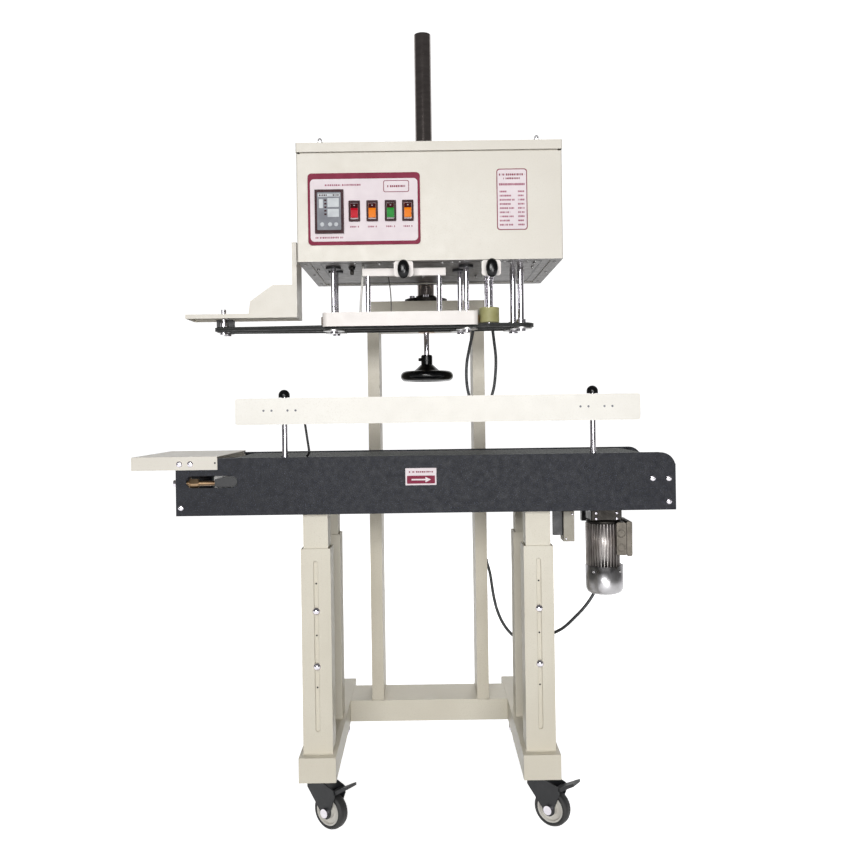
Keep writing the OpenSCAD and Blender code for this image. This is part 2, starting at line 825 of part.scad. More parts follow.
// A white plate with an open slot that the adjusting stem passes through
module stem_guide(x) {
    z0 = 1118;
    difference() {
        translate([x - 19.5, 26, z0]) rotate([90, 0, 0]) linear_extrude(sheet) rounded(39, head_z - z0, 6);
        block([x - 6, 20, knob_z - 6], [x + 6, 30, head_z + 1]);
    }
}

module base_plate() {
    color([0.45, 0.43, 0.42]) difference() {
        block([head_x0 + sheet, head_y0 + sheet, plate_z], [head_x1 - sheet, head_y1 - sheet, plate_top]);
        spindle_holes(plate_z - 1, plate_top + 1, 12);
    }
    color(charcoal) difference() {
        union() {
            spindle_holes(plate_z - 5, plate_z, 16);
            spindle_holes(plate_z, plate_top + 2, 12 - fit);
        }
        spindle_holes(plate_z - 6, plate_top + 3, spindle_r + fit);
    }
    color(chrome) for (p = [[out_front_x, front_y], [out_rear_x, rear_y]]) {
        upright(p[0], p[1], pulley_z - pulley_rim - 0.5, plate_z, out_spindle_r);
        upright(p[0], p[1], spindle_z - 2, pulley_z - pulley_rim - 0.5, 10);
        upright(p[0], p[1], pulley_z + pulley_w + 1, pulley_z + pulley_w + 8, 10.5);
    }
    color("white") for (x = knob_x) stem_guide(x);
    color(black) upright(158, 350, 1146, plate_z, 8);
}

// A collar that slides on the mast, with a flange plate bolted to the head's rear face
module slide_collar() {
    half = 65;
    web_y = mast_y - mast_r - 3;
    color(steel) difference() {
        union() {
            upright(mast_x, mast_y, collar_z[0], collar_z[1], collar_r);
            block([mast_x - half, head_y1, collar_z[0] + 5], [mast_x + half, head_y1 + 6, collar_z[1] + 5]);
            for (x = [mast_x - 22, mast_x + 16])
                block([x, head_y1 + 5, collar_z[0] + 5], [x + 6, web_y + 8, collar_z[1]]);
        }
        upright(mast_x, mast_y, collar_z[0] - 1, collar_z[1] + 6, mast_r + fit);
        block([mast_x - 4, mast_y, nut_z[0] + 5], [mast_x + 4, mast_y + collar_r + 1, nut_z[1] - 5]);
    }
    color("darkgoldenrod") difference() {
        union() {
            upright(mast_x, mast_y, nut_z[0], nut_z[1], mast_bore - 0.3);
            block([mast_x - 4, mast_y + mast_bore - 3, nut_z[0] + 5],
                  [mast_x + 4, mast_y + collar_r, nut_z[1] - 5]);
        }
        upright(mast_x, mast_y, nut_z[0] - 5, nut_z[1] + 5, screw_r + fit);
    }
    color(steel) for (x = [mast_x - 52, mast_x + 52], z = [collar_z[0] + 30, collar_z[1] - 20])
        translate([x, head_y1 + 6, z]) rotate([-90, 0, 0]) dome_bolt(8, 5, 4, 4);
}

module control_panel() {
    width = panel_x[1] - panel_x[0];
    height = panel_z[1] - panel_z[0];
    bezel = [22, 41];
    color(maroon) difference() {
        union() {
            translate([panel_x[0], head_y0, panel_z[0]]) rotate([90, 0, 0]) linear_extrude(3)
                rounded(width, height, 8);
            for (x = rocker_x) block([x - bezel[0] / 2, head_y0 - 6, rocker_z - bezel[1] / 2],
                [x + bezel[0] / 2, head_y0 - 3, rocker_z + bezel[1] / 2]);
        }
        for (x = rocker_x)
            block([x - 7.7, head_y0 - 7, rocker_z - 16.4], [x + 7.7, head_y0 + 1, rocker_z + 16.4]);
        block([control_x - 23, head_y0 - 4, control_z - 37], [control_x + 23, head_y0 + 1, control_z + 37]);
    }
    color(charcoal) {
        block([control_x - 29, head_y0 - 9, control_z - 44], [control_x + 29, head_y0 - 3, control_z + 44]);
        block([control_x - 22.5, head_y0 - 3, control_z - 36.5],
              [control_x + 22.5, head_y0 + 60, control_z + 36.5]);
    }
}

module rocker(x, tint) {
    width = 14.4;
    color(tint) translate([x - width / 2, rocker_y, rocker_z]) rotate([-rocker_rest, 0, 0]) rotate([90, 0, 90])
        linear_extrude(width) polygon([[-5.5, -15], [-7.5, 0], [-5.5, 15], [1, 9], [1, -9]]);
}

module infeed_tray() {
    front = tray_y[0];
    back = tray_y[1];
    lip = 2.5;
    plate_x = arm_x - wall;
    pins = [seal_y - in_gap / 2, seal_y + in_gap / 2];
    color(cream) difference() {
        union() {
            block([tray_x0, front, tray_z[1] - wall], [arm_x, back, tray_z[1]]);
            for (y = [front, back - lip]) block([tray_x0, y, tray_z[0]], [arm_x, y + lip, tray_z[1]]);
            block([tray_x0, front, tray_z[0]], [tray_x0 + lip, back, tray_z[1]]);
            block([plate_x, front, tray_z[0]], [arm_x, back, arm_top]);
            block([plate_x - 7, front, tray_z[1]], [plate_x, front + lip, arm_top]);
            translate([0, front + lip, 0]) rotate([90, 0, 0]) linear_extrude(lip)
                polygon([[plate_x, 1115], [-317, 1115], [-365, 1081], [-369, tray_z[1] - 1],
                         [plate_x, tray_z[1] - 1]]);
        }
        for (y = pins) upright(in_x, y, tray_z[0], tray_z[1] + 1, in_pin_r + fit);
        for (z = [1168, 1190]) along(plate_x - 1, arm_x + 1, seal_y, z, 4);
    }
    color(chrome) {
        for (y = pins) {
            upright(in_x, y, pulley_z - 2, tray_z[1], in_pin_r);
            upright(in_x, y, pulley_z - 6, pulley_z - 2, 8);
        }
        upright(in_x, pins[0], tray_z[1], tray_z[1] + 11, 5.5);
        for (z = [1168, 1190]) {
            along(plate_x, head_x0, seal_y, z, 4 - fit);
            along(arm_x, head_x0, seal_y, z, 8);
            along(plate_x - 5, plate_x, seal_y, z, 7);
        }
    }
}

module guide_outline(in_y, run_y, out_x, grow) {
    hull() {
        translate([in_x, in_y]) circle(in_r + grow);
        translate([idler_wheel_x, run_y]) circle(pulley_r + grow);
        translate([out_x, run_y]) circle(pulley_r + grow);
    }
}

module guide_belt(in_y, run_y, out_x) {
    translate([0, 0, pulley_z + 0.5]) linear_extrude(pulley_w - 1) difference() {
        guide_outline(in_y, run_y, out_x, guide_out - pulley_r);
        guide_outline(in_y, run_y, out_x, guide_in - pulley_r);
    }
}

module guide_belts() {
    color(black) {
        guide_belt(seal_y - in_gap / 2, front_y, out_front_x);
        guide_belt(seal_y + in_gap / 2, rear_y, out_rear_x);
    }
}

module sealing_bands() {
    color([0.5, 0.35, 0.25]) for (run = [[drive_front_x, front_y], [drive_rear_x, rear_y]])
        translate([0, 0, band_z]) linear_extrude(band_w) difference() {
            stretched_disc(idler_wheel_x, run[0], run[1], band_out);
            stretched_disc(idler_wheel_x, run[0], run[1], band_in);
        }
}

// Wheel for a sealing band, with the guide belt's pulley under it
module band_wheel(x, y) {
    color(steel) difference() {
        union() {
            upright(x, y, band_z, band_z + band_w, wheel_r);
            upright(x, y, pulley_z - pulley_rim, band_z, 12);
            upright(x, y, pulley_z, pulley_z + pulley_w, pulley_r);
            upright(x, y, pulley_z - pulley_rim, pulley_z, pulley_r + 1);
        }
        upright(x, y, pulley_z - 4, band_z + band_w + 1, spindle_r + fit);
    }
}

module spindle(x, y, top) {
    color(chrome) {
        upright(x, y, spindle_z, top, spindle_r);
        upright(x, y, spindle_z - 2, pulley_z - pulley_rim, 8);
    }
}

module spur_gear(turn) {
    pitch_r = gear_gap / 2;
    step = 360 / gear_teeth;
    root = pitch_r - 2.4;
    tip = pitch_r + 1.3;
    tooth = [[-0.31, root], [-0.12, tip], [0.12, tip], [0.31, root]];
    linear_extrude(gear_w) difference() {
        rotate(turn) polygon([for (i = [0:gear_teeth - 1], p = tooth)
            p[1] * [cos((i + p[0]) * step), sin((i + p[0]) * step)]]);
        circle(spindle_r - 1);
    }
}

module drive_wheel(x, y, top, turn) {
    band_wheel(x, y);
    spindle(x, y, top);
    color(steel) translate([x, y, gear_z]) spur_gear(turn);
}

module drive_wheel_front() {
    drive_wheel(drive_front_x, front_y, 1196, gear_turn);
}

module drive_wheel_rear() {
    drive_wheel(drive_rear_x, rear_y, 1172, gear_turn + 180 + 180 / gear_teeth);
}

module idler_wheel(y) {
    band_wheel(idler_wheel_x, y);
    spindle(idler_wheel_x, y, plate_top + 1);
}

module outfeed_pulley(x, y) {
    color(steel) difference() {
        union() {
            upright(x, y, pulley_z, pulley_z + pulley_w, pulley_r);
            upright(x, y, pulley_z - pulley_rim, pulley_z, pulley_r + 1);
        }
        upright(x, y, pulley_z - 4, pulley_z + pulley_w + 1, out_spindle_r + fit);
    }
}

module infeed_pulley(y) {
    color(black) difference() {
        union() {
            upright(in_x, y, pulley_z - 1, pulley_z + pulley_w + 0.5, in_r);
            upright(in_x, y, pulley_z + pulley_w, 1038, 7.5);
        }
        upright(in_x, y, pulley_z - 2, 1039, in_pin_r + fit);
    }
}

// The heating block and the cooling block, side by side
module sealing_blocks(y0, y1, x1) {
    block([block_x[0], y0, block_z[0]], [-32, y1, block_z[1]]);
    block([-24, y0, block_z[0]], [x1, y1, block_z[1]]);
}

module rear_blocks() {
    y0 = seal_y + 1.2;
    color([0.7, 0.6, 0.4]) sealing_blocks(y0, y0 + 20, block_x[1] - 12);
    color(steel) {
        block([block_x[0], y0, block_z[1]], [block_x[1] - 12, 198, block_z[1] + 4]);
        for (x = rear_rod_x) upright(x, 191, block_z[1] + 4, plate_z, 4.5);
    }
}

module front_carriage() {
    y1 = seal_y - 1.2;
    rod_y = bar_y + 6;
    cover_l = cover_x[1] - cover_x[0];
    color([0.7, 0.6, 0.4]) sealing_blocks(y1 - 20, y1, block_x[1]);
    color(steel) block([block_x[0], cover_y + wall, block_z[1]], [block_x[1], y1, block_z[1] + 3.5]);
    color(chrome) for (x = carriage_rod_x) upright(x, rod_y, block_z[1] + 3.5, bar_z[0], carriage_rod_r);
    color(cream) {
        block([bar_x[0], bar_y, bar_z[0]], [bar_x[1], bar_y + 12, bar_z[1]]);
        translate([cover_x[0], cover_y, cover_z[0]]) linear_extrude(cover_z[1] - cover_z[0]) difference() {
            rounded(cover_l, 24, 10);
            translate([wall, wall]) rounded(cover_l - 2 * wall, 24, 8);
            translate([-1, 13]) square([cover_l + 2, 20]);
        }
    }
}

// An oval lobed knob in the XZ plane, on a stem that runs back to y1
module lobed_knob(x, y1) {
    color(black) translate([x, knob_y[1], knob_z]) rotate([90, 0, 0]) {
        cylinder(r = 10.5, h = 20);
        for (z = [-1, 1]) translate([0, z * 13.5, 0]) cylinder(r = 5.5, h = 20);
        for (a = [-1, 1], z = [-1, 1]) translate([a * 8, z * 7, 0]) cylinder(r = 4, h = 20);
    }
    color(chrome) across(x, knob_y[1], y1, knob_z, 4);
}

module roller_arm() {
    y = seal_y - press_r - 0.3;
    color(steel) difference() {
        block([roller_x - 13, cover_y, arm_z[0]], [roller_x + 13, y + 11, arm_z[1]]);
        upright(roller_x, y, arm_z[0] - 1, arm_z[1] + 1, 6);
    }
    color(chrome) {
        upright(roller_x, y, press_z[0] - 1, arm_z[1], 6 - fit);
        upright(roller_x, y, press_z[1] + 0.5, arm_z[0] - 8, 8.7);
        upright(roller_x, y, arm_z[0] - 8, arm_z[0], 10.5);
        upright(roller_x, y, press_z[0] - 5, press_z[0] - 0.5, 9);
    }
}

module pressure_roller() {
    y = seal_y - press_r - 0.3;
    color([0.55, 0.55, 0.25]) difference() {
        upright(roller_x, y, press_z[0], press_z[1], press_r);
        upright(roller_x, y, press_z[0] - 1, press_z[1] + 1, 6);
    }
}

module backing_roller() {
    y = seal_y + press_r + 0.3;
    color(steel) {
        upright(roller_x, y, press_z[0], press_z[1], press_r);
        upright(roller_x, y, press_z[1], plate_z - 0.5, 6);
    }
}

module head_motor() {
    color([0.3, 0.3, 0.32]) {
        difference() {
            block([drive_front_x - 34, front_y - 34, 1186], [drive_front_x + 34, front_y + 34, 1226]);
            upright(drive_front_x, front_y, 1185, 1200, spindle_r + fit);
        }
        upright(drive_front_x, front_y, 1226, 1345, 31);
    }
    color(steel) for (p = [[28, -28], [-28, -28], [28, 28]])
        upright(drive_front_x + p[0], front_y + p[1], plate_top, 1186, 4);
}

module motor_cable() {
    color(black) swept_tube(motor_cable_route, cable_r);
}

module head_cable() {
    color(black) swept_tube(head_cable_route, cable_r);
}

placed() side_rails();
placed() leg_sleeves();
placed() caster_mounts();
placed() column_frame();
placed() mast();
placed() handwheel();
placed() lead_screw();
at_caster(0) swivel_fork();  // caster_fork_fl
at_caster(1) swivel_fork();  // caster_fork_fr
at_caster(0) caster_wheel(trail);  // caster_wheel_fl
at_caster(1) caster_wheel(trail);  // caster_wheel_fr
at_caster(2) caster_wheel(0);  // caster_wheel_rl
at_caster(3) caster_wheel(0);  // caster_wheel_rr
at_caster(0) brake_pedal();  // brake_pedal_fl
at_caster(1) brake_pedal();  // brake_pedal_fr
placed() side_panels();
placed() conveyor_frame();
placed() inner_legs();
placed() infeed_plate();
placed() conveyor_belt();
placed() gearmotor();
placed() chain_drive();
placed() junction_box();
placed() guide_posts();
placed() drive_roller();
placed() idler_roller();
placed() motor_sprocket();
placed() guide_rail();
placed() guide_knob(post_x[0]);  // guide_knob_left
placed() guide_knob(post_x[1]);  // guide_knob_right
placed() head_shell();
placed() head_lid();
placed() base_plate();
placed() slide_collar();
placed() control_panel();
placed() infeed_tray();
placed() guide_belts();
placed() sealing_bands();
placed() rear_blocks();
placed() head_motor();
placed() rocker(rocker_x[0], "red");  // rocker_power
placed() rocker(rocker_x[1], "orange");  // rocker_motor
placed() rocker(rocker_x[2], "limegreen");  // rocker_heater
placed() rocker(rocker_x[3], "orange");  // rocker_fan
placed() drive_wheel_front();
placed() drive_wheel_rear();
placed() idler_wheel(front_y);  // idler_wheel_front
placed() idler_wheel(rear_y);  // idler_wheel_rear
placed() outfeed_pulley(out_front_x, front_y);  // outfeed_pulley_front
placed() outfeed_pulley(out_rear_x, rear_y);  // outfeed_pulley_rear
placed() infeed_pulley(seal_y - in_gap / 2);  // infeed_pulley_front
placed() infeed_pulley(seal_y + in_gap / 2);  // infeed_pulley_rear
placed() front_carriage();
placed() lobed_knob(knob_x[0], bar_y);  // carriage_knob
placed() roller_arm();
placed() pressure_roller();
placed() backing_roller();
placed() lobed_knob(knob_x[1], cover_y);  // roller_knob
placed() motor_cable();
placed() head_cable();
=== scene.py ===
"""Looks of a continuous band sealer on a wheeled stand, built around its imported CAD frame.

Helpers take millimetres measured from the stand's middle (x), the conveyor's front face (y) and the
floor (z); mm() turns such a point into the frame's metres.
"""
import math

import bmesh
import bpy
from mathutils import Matrix, Vector


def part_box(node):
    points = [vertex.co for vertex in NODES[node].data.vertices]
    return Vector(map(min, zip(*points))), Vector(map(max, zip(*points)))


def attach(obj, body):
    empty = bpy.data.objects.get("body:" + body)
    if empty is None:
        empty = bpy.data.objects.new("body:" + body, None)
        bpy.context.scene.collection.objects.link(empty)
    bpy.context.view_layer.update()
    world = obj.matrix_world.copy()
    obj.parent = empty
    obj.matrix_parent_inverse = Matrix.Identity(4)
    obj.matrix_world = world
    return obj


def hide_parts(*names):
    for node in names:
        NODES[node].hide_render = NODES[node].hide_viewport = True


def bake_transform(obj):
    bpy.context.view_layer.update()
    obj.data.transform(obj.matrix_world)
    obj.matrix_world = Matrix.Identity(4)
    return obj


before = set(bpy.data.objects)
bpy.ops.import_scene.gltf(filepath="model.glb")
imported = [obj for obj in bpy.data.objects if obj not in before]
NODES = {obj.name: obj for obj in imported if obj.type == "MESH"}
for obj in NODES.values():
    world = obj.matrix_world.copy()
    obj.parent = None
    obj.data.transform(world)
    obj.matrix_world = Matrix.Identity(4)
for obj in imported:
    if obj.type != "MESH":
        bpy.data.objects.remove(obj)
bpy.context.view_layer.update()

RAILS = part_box("side_rails")
STAND_X = (RAILS[0][0] + RAILS[1][0]) / 2
FRONT_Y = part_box("side_panels")[0][1]


def mm(x, y, z):
    return Vector((STAND_X + x / 1000, FRONT_Y + y / 1000, z / 1000))


def to_mm(p):
    return Vector(((p[0] - STAND_X) * 1000, (p[1] - FRONT_Y) * 1000, p[2] * 1000))


# ---- Camera ----

EYE_HEIGHT = 847
EYE_DISTANCE = 1800
LENS = 38.1
ROLL = math.radians(-0.8)

camera = bpy.data.objects.new("camera", bpy.data.cameras.new("camera"))
bpy.context.scene.collection.objects.link(camera)
camera.data.lens = LENS
camera.data.sensor_width = 36
camera.data.shift_y = -0.0176
camera.location = mm(0, -EYE_DISTANCE, EYE_HEIGHT)
camera.rotation_euler = (Matrix.Rotation(math.pi / 2, 3, "X") @ Matrix.Rotation(ROLL, 3, "Z")).to_euler()
bpy.context.scene.camera = camera


# ---- Mesh building ----


def basis(axis):
    """Two unit vectors at right angles to axis and to each other."""
    axis = Vector(axis).normalized()
    side = axis.cross((0, 0, 1)) if abs(axis.z) < 0.9 else axis.cross((0, 1, 0))
    side.normalize()
    return side, axis.cross(side)


class Shape:
    """Gathers the faces of one piece, in millimetres."""

    def __init__(self):
        self.bm = bmesh.new()

    def face(self, points, slot=0, smooth=False):
        face = self.bm.faces.new([self.bm.verts.new(mm(*p)) for p in points])
        face.material_index = slot
        face.smooth = smooth

    def grid(self, rows, slot=0, closed=False, smooth=True):
        """A skin over rows of points; closed joins each row's last point to its first."""
        rows = [[self.bm.verts.new(mm(*p)) for p in row] for row in rows]
        for low, high in zip(rows, rows[1:]):
            count = len(low)
            for i in range(count if closed else count - 1):
                j = (i + 1) % count
                face = self.bm.faces.new((low[i], low[j], high[j], high[i]))
                face.material_index = slot
                face.smooth = smooth
        return rows

    def lathe(self, profile, start, axis=(0, 0, 1), slot=0, steps=32, smooth=True):
        """A turned body: profile is (radius, height) pairs along axis from start."""
        start, axis = Vector(start), Vector(axis).normalized()
        u, v = basis(axis)
        rows = []
        for r, h in profile:
            turn = [2 * math.pi * i / steps for i in range(steps)]
            rows.append([start + axis * h + (u * math.cos(a) + v * math.sin(a)) * r for a in turn])
        rows = self.grid(rows, slot, closed=True, smooth=smooth)
        for row in (rows[0], rows[-1]):
            face = self.bm.faces.new(row)
            face.material_index = slot

    def prism(self, outline, origin, u, v, depth, slot=0, smooth=False):
        """A flat outline of (u, v) pairs at origin, depth thick along u × v."""
        origin, u, v = Vector(origin), Vector(u), Vector(v)
        out = u.cross(v).normalized() * depth
        low = [origin + u * a + v * b for a, b in outline]
        low, high = self.grid([low, [p + out for p in low]], slot, closed=True, smooth=smooth)
        for row in (low, high):
            face = self.bm.faces.new(row)
            face.material_index = slot

    def box(self, low, high, slot=0):
        x, y, z = (high[i] - low[i] for i in range(3))
        self.prism([(0, 0), (x, 0), (x, y), (0, y)], low, (1, 0, 0), (0, 1, 0), z, slot)

    def tube(self, path, r, slot=0, steps=14):
        """A round tube along a list of points, closed at both ends."""
        path = [Vector(p) for p in path]
        u = None
        rows = []
        for i, p in enumerate(path):
            along = (path[min(i + 1, len(path) - 1)] - path[max(i - 1, 0)]).normalized()
            u = basis(along)[0] if u is None else (u - along * u.dot(along)).normalized()
            v = along.cross(u)
            turn = [2 * math.pi * k / steps for k in range(steps)]
            rows.append([p + (u * math.cos(a) + v * math.sin(a)) * r for a in turn])
        rows = self.grid(rows, slot, closed=True)
        for row in (rows[0], rows[-1]):
            self.bm.faces.new(row).material_index = slot

    def thread(self, start, axis, length, root, crest, pitch, slot=0, steps=24):
        """A screw thread's skin around axis."""
        start, axis = Vector(start), Vector(axis).normalized()
        u, v = basis(axis)
        turns = int(length / pitch)
        rows = []
        for k in range(turns * steps + 1):
            a = 2 * math.pi * k / steps
            out = u * math.cos(a) + v * math.sin(a)
            base = start + axis * (pitch * k / steps)
            rows.append([base + out * root, base + axis * pitch / 2 + out * crest,
                         base + axis * pitch + out * root])
        self.grid(rows, slot)

    def build(self, name, materials, body, bevel=0.0, replaces=()):
        """Makes the object and has it ride on body, with its edges rounded by bevel millimetres."""
        bmesh.ops.recalc_face_normals(self.bm, faces=self.bm.faces)
        mesh = bpy.data.meshes.new(name)
        self.bm.to_mesh(mesh)
        self.bm.free()
        for material in materials:
            mesh.materials.append(material)
        obj = bpy.data.objects.new(name, mesh)
        bpy.context.scene.collection.objects.link(obj)
        if bevel:
            round_edges(obj, bevel)
        if body:
            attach(obj, body)
        if replaces:
            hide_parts(*replaces)
        return obj


def round_edges(obj, width, segments=2, weld=False):
    """Small round-overs on the sharp edges, which catch the light."""
    if weld:
        join = obj.modifiers.new("weld", "WELD")
        join.merge_threshold = 0.00001
    edge = obj.modifiers.new("edges", "BEVEL")
    edge.width = width / 1000
    edge.segments = segments
    edge.limit_method = "ANGLE"
    edge.angle_limit = math.radians(40)
    edge.use_clamp_overlap = True
    even = obj.modifiers.new("even", "WEIGHTED_NORMAL")
    even.keep_sharp = False
    even.weight = 80


# ---- Materials ----


def rgb(r, g, b):
    """A colour from 0 to 255 as the screen shows it, in linear light."""
    channels = [c / 255 for c in (r, g, b)]
    return tuple(c / 12.92 if c * 255 <= 10 else ((c + 0.055) / 1.055) ** 2.4 for c in channels) + (1.0,)


class Finish:
    """A node material on the object's own coordinates, so that it moves with the object."""

    def __init__(self, name, colour, rough, metal=0.0, stretch=(1, 1, 1)):
        self.material = bpy.data.materials.new(name)
        self.material.use_nodes = True
        self.tree = self.material.node_tree
        self.shader = self.tree.nodes["Principled BSDF"]
        self.shader.inputs["Metallic"].default_value = metal
        self.shader.inputs["Roughness"].default_value = rough
        self.shader.inputs["Base Color"].default_value = rgb(*colour)
        self.rough = rough
        self.colour = None
        self.base = rgb(*colour)
        self.normal = None
        coords = self.tree.nodes.new("ShaderNodeTexCoord")
        self.coords = self.tree.nodes.new("ShaderNodeMapping")
        self.coords.inputs["Scale"].default_value = stretch
        self.tree.links.new(coords.outputs["Object"], self.coords.inputs["Vector"])

    def noise(self, scale, detail=3.0, sharp=0.5):
        node = self.tree.nodes.new("ShaderNodeTexNoise")
        node.inputs["Scale"].default_value = scale
        node.inputs["Detail"].default_value = detail
        node.inputs["Roughness"].default_value = sharp
        self.tree.links.new(self.coords.outputs["Vector"], node.inputs["Vector"])
        return node.outputs["Fac"]

    def cells(self, scale):
        node = self.tree.nodes.new("ShaderNodeTexVoronoi")
        node.inputs["Scale"].default_value = scale
        self.tree.links.new(self.coords.outputs["Vector"], node.inputs["Vector"])
        return node.outputs["Distance"]

    def bands(self, direction, scale):
        node = self.tree.nodes.new("ShaderNodeTexWave")
        node.bands_direction = direction
        node.inputs["Scale"].default_value = scale
        self.tree.links.new(self.coords.outputs["Vector"], node.inputs["Vector"])
        return node.outputs["Fac"]

    def ramp(self, value, low, high, start=0.0, end=1.0):
        node = self.tree.nodes.new("ShaderNodeMapRange")
        for name, number in (("From Min", low), ("From Max", high), ("To Min", start), ("To Max", end)):
            node.inputs[name].default_value = number
        self.tree.links.new(value, node.inputs["Value"])
        return node.outputs["Result"]

    def mix(self, colour, amount):
        """Paints colour over what is there, where amount says."""
        node = self.tree.nodes.new("ShaderNodeMix")
        node.data_type = "RGBA"
        below, above, result = node.inputs[6], node.inputs[7], node.outputs[2]
        if self.colour:
            self.tree.links.new(self.colour, below)
        else:
            below.default_value = self.base
        above.default_value = rgb(*colour)
        self.tree.links.new(amount, node.inputs[0])
        self.colour = result
        self.tree.links.new(result, self.shader.inputs["Base Color"])
        return self

    def mottle(self, colour, scale=6.0, low=0.35, high=0.7):
        return self.mix(colour, self.ramp(self.noise(scale, 4), low, high))

    def specks(self, colour, scale, low, high):
        return self.mix(colour, self.ramp(self.noise(scale, 1), low, high))

    def bump(self, value, depth):
        """Relief of that many millimetres."""
        node = self.tree.nodes.new("ShaderNodeBump")
        node.inputs["Distance"].default_value = depth / 1000
        self.tree.links.new(value, node.inputs["Height"])
        if self.normal:
            self.tree.links.new(self.normal, node.inputs["Normal"])
        self.normal = node.outputs["Normal"]
        self.tree.links.new(self.normal, self.shader.inputs["Normal"])
        return self

    def uneven(self, spread, scale=40.0):
        """Roughness that varies over the surface."""
        rough = self.ramp(self.noise(scale, 4), 0.3, 0.7, self.rough - spread, self.rough + spread)
        self.tree.links.new(rough, self.shader.inputs["Roughness"])
        return self

    def set(self, **values):
        for name, number in values.items():
            self.shader.inputs[name.replace("_", " ")].default_value = number
        return self


def paint(name, colour, shade, rough=0.42):
    """Powder coat: a fine orange peel and a slightly uneven tone."""
    f = Finish(name, colour, rough)
    f.mottle(shade, 5).specks(shade, 420, 0.55, 0.75)
    f.bump(f.noise(650, 2), 0.10).bump(f.noise(190, 2), 0.12)
    f.uneven(0.06, 60)
    return f.material


def metal(name, colour, rough, stretch=(1, 1, 1), shade=None, grain=600, depth=0.02, spread=0.07):
    f = Finish(name, colour, rough, 1.0, stretch)
    f.mottle(shade or tuple(c * 0.8 for c in colour), 30)
    f.bump(f.noise(grain, 2), depth).uneven(spread, 80)
    return f.material


def plastic(name, colour, rough, shade=None, depth=0.03, gloss=0.5):
    f = Finish(name, colour, rough)
    f.mottle(shade or tuple(c * 0.8 for c in colour), 40)
    f.bump(f.noise(500, 2), depth).uneven(0.06, 120).set(Specular_IOR_Level=gloss)
    return f.material


def wrinkle_coat():
    """The conveyor's black wrinkle finish; its fine light speckle is painted glints."""
    f = Finish("wrinkle_black", (20, 22, 30), 0.56)
    # The light specks are painted glints on the wrinkle; the mottle and the dark specks are tone.
    f.mottle((17, 19, 26), 4).specks((58, 62, 80), 520, 0.58, 0.74).specks((9, 10, 14), 260, 0.58, 0.72)
    f.bump(f.noise(420, 2), 0.35).uneven(0.08, 90).set(Specular_IOR_Level=0.3)
    return f.material


def belt_weave():
    f = Finish("belt_weave", (44, 50, 46), 0.62)
    f.mottle((35, 40, 37), 9).mix((62, 70, 64), f.ramp(f.bands("X", 320), 0.6, 1.0, 0.0, 0.35))
    f.bump(f.bands("X", 320), 0.12).bump(f.bands("Y", 320), 0.12).bump(f.noise(700, 1), 0.05)
    return f.material


def ribbed_rubber():
    f = Finish("ribbed_rubber", (26, 27, 27), 0.5)
    f.mottle((40, 41, 40), 60).specks((66, 66, 62), 300, 0.6, 0.8)
    f.bump(f.bands("Z", 190), 0.35).uneven(0.08)
    return f.material


def band_cloth_and_painted_shade():
    # Brown band cloth, made darker for the shade it sits in under the cover: partly its own colour, partly
    # painted shade.
    f = Finish("band_cloth_and_painted_shade", (122, 92, 62), 0.45)
    f.mottle((96, 70, 46), 30).bump(f.bands("X", 500), 0.05).bump(f.bands("Z", 500), 0.05)
    return f.material


def cable_jacket():
    f = Finish("cable_jacket", (52, 55, 58), 0.48)
    f.mottle((34, 36, 38), 25).specks((84, 86, 88), 150, 0.55, 0.75).bump(f.noise(300, 2), 0.05)
    return f.material


RAIL_WHITE = paint("rail_coat", (246, 243, 235), (239, 235, 226))
CREAM = paint("cream_coat", (230, 225, 214), (223, 217, 205))
WHITE = paint("white_coat", (246, 240, 235), (238, 231, 226), 0.4)
STAND = paint("stand_coat", (222, 216, 200), (212, 205, 188))
# The junction box's coat is made dark to stand for the conveyor's shadow over it: painted shade.
SHADED_BOX_COAT = paint("junction_box_coat_painted_shade", (158, 152, 138), (144, 138, 124))
# The stand's paint a little darker, on the columns and slide collar that stand under the conveyor and head:
# painted shade.
SHADED_STAND = paint("column_coat_painted_shade", (212, 205, 188), (198, 190, 172))
# Dark brown of the head's underside: partly its own coat, partly painted shade for the shadow under the head.
UNDERSIDE_COAT_AND_SHADE = paint("underside_coat_and_painted_shade", (80, 72, 67), (66, 59, 55))
WRINKLE = wrinkle_coat()
BLACK = paint("black_coat", (15, 16, 18), (24, 25, 28), 0.42)
CHROME = metal("chrome", (222, 219, 224), 0.1, (1, 1, 4), (204, 200, 208), depth=0.002, spread=0.03)
MAST = metal("mast_chrome", (138, 130, 127), 0.12, (1, 1, 4), (120, 112, 110), depth=0.002, spread=0.03)
STEEL = metal("turned_steel", (164, 163, 162), 0.3, (1, 1, 8), (130, 129, 128))
DARK_STEEL = metal("blackened_steel", (52, 50, 48), 0.42, shade=(38, 36, 34))
ZINC = metal("zinc_plate", (238, 236, 238), 0.38, shade=(214, 212, 214), depth=0.004)
CAST = metal("cast_aluminium", (172, 168, 166), 0.42, shade=(134, 128, 124), grain=380, depth=0.12)
BOX_CAST = metal("terminal_box_cast", (104, 99, 92), 0.52, shade=(84, 80, 74), grain=380, depth=0.12)
BRASS = metal("yellow_passivated_steel", (168, 142, 112), 0.32, shade=(122, 98, 78))
BRONZE = metal("bronze", (170, 140, 92), 0.36, shade=(132, 104, 66))
TYRE = plastic("tyre_rubber", (30, 30, 31), 0.62, (44, 43, 42), 0.12)
HUB = plastic("hub_plastic", (214, 211, 204), 0.45, (196, 192, 184))
GLOSS_BLACK = plastic("gloss_black", (5, 6, 7), 0.2, (9, 10, 12), 0.012, gloss=0.3)
MATT_BLACK = plastic("matt_black", (27, 27, 29), 0.5, (38, 38, 40), 0.06)
BELT = belt_weave()
RIBBED = ribbed_rubber()
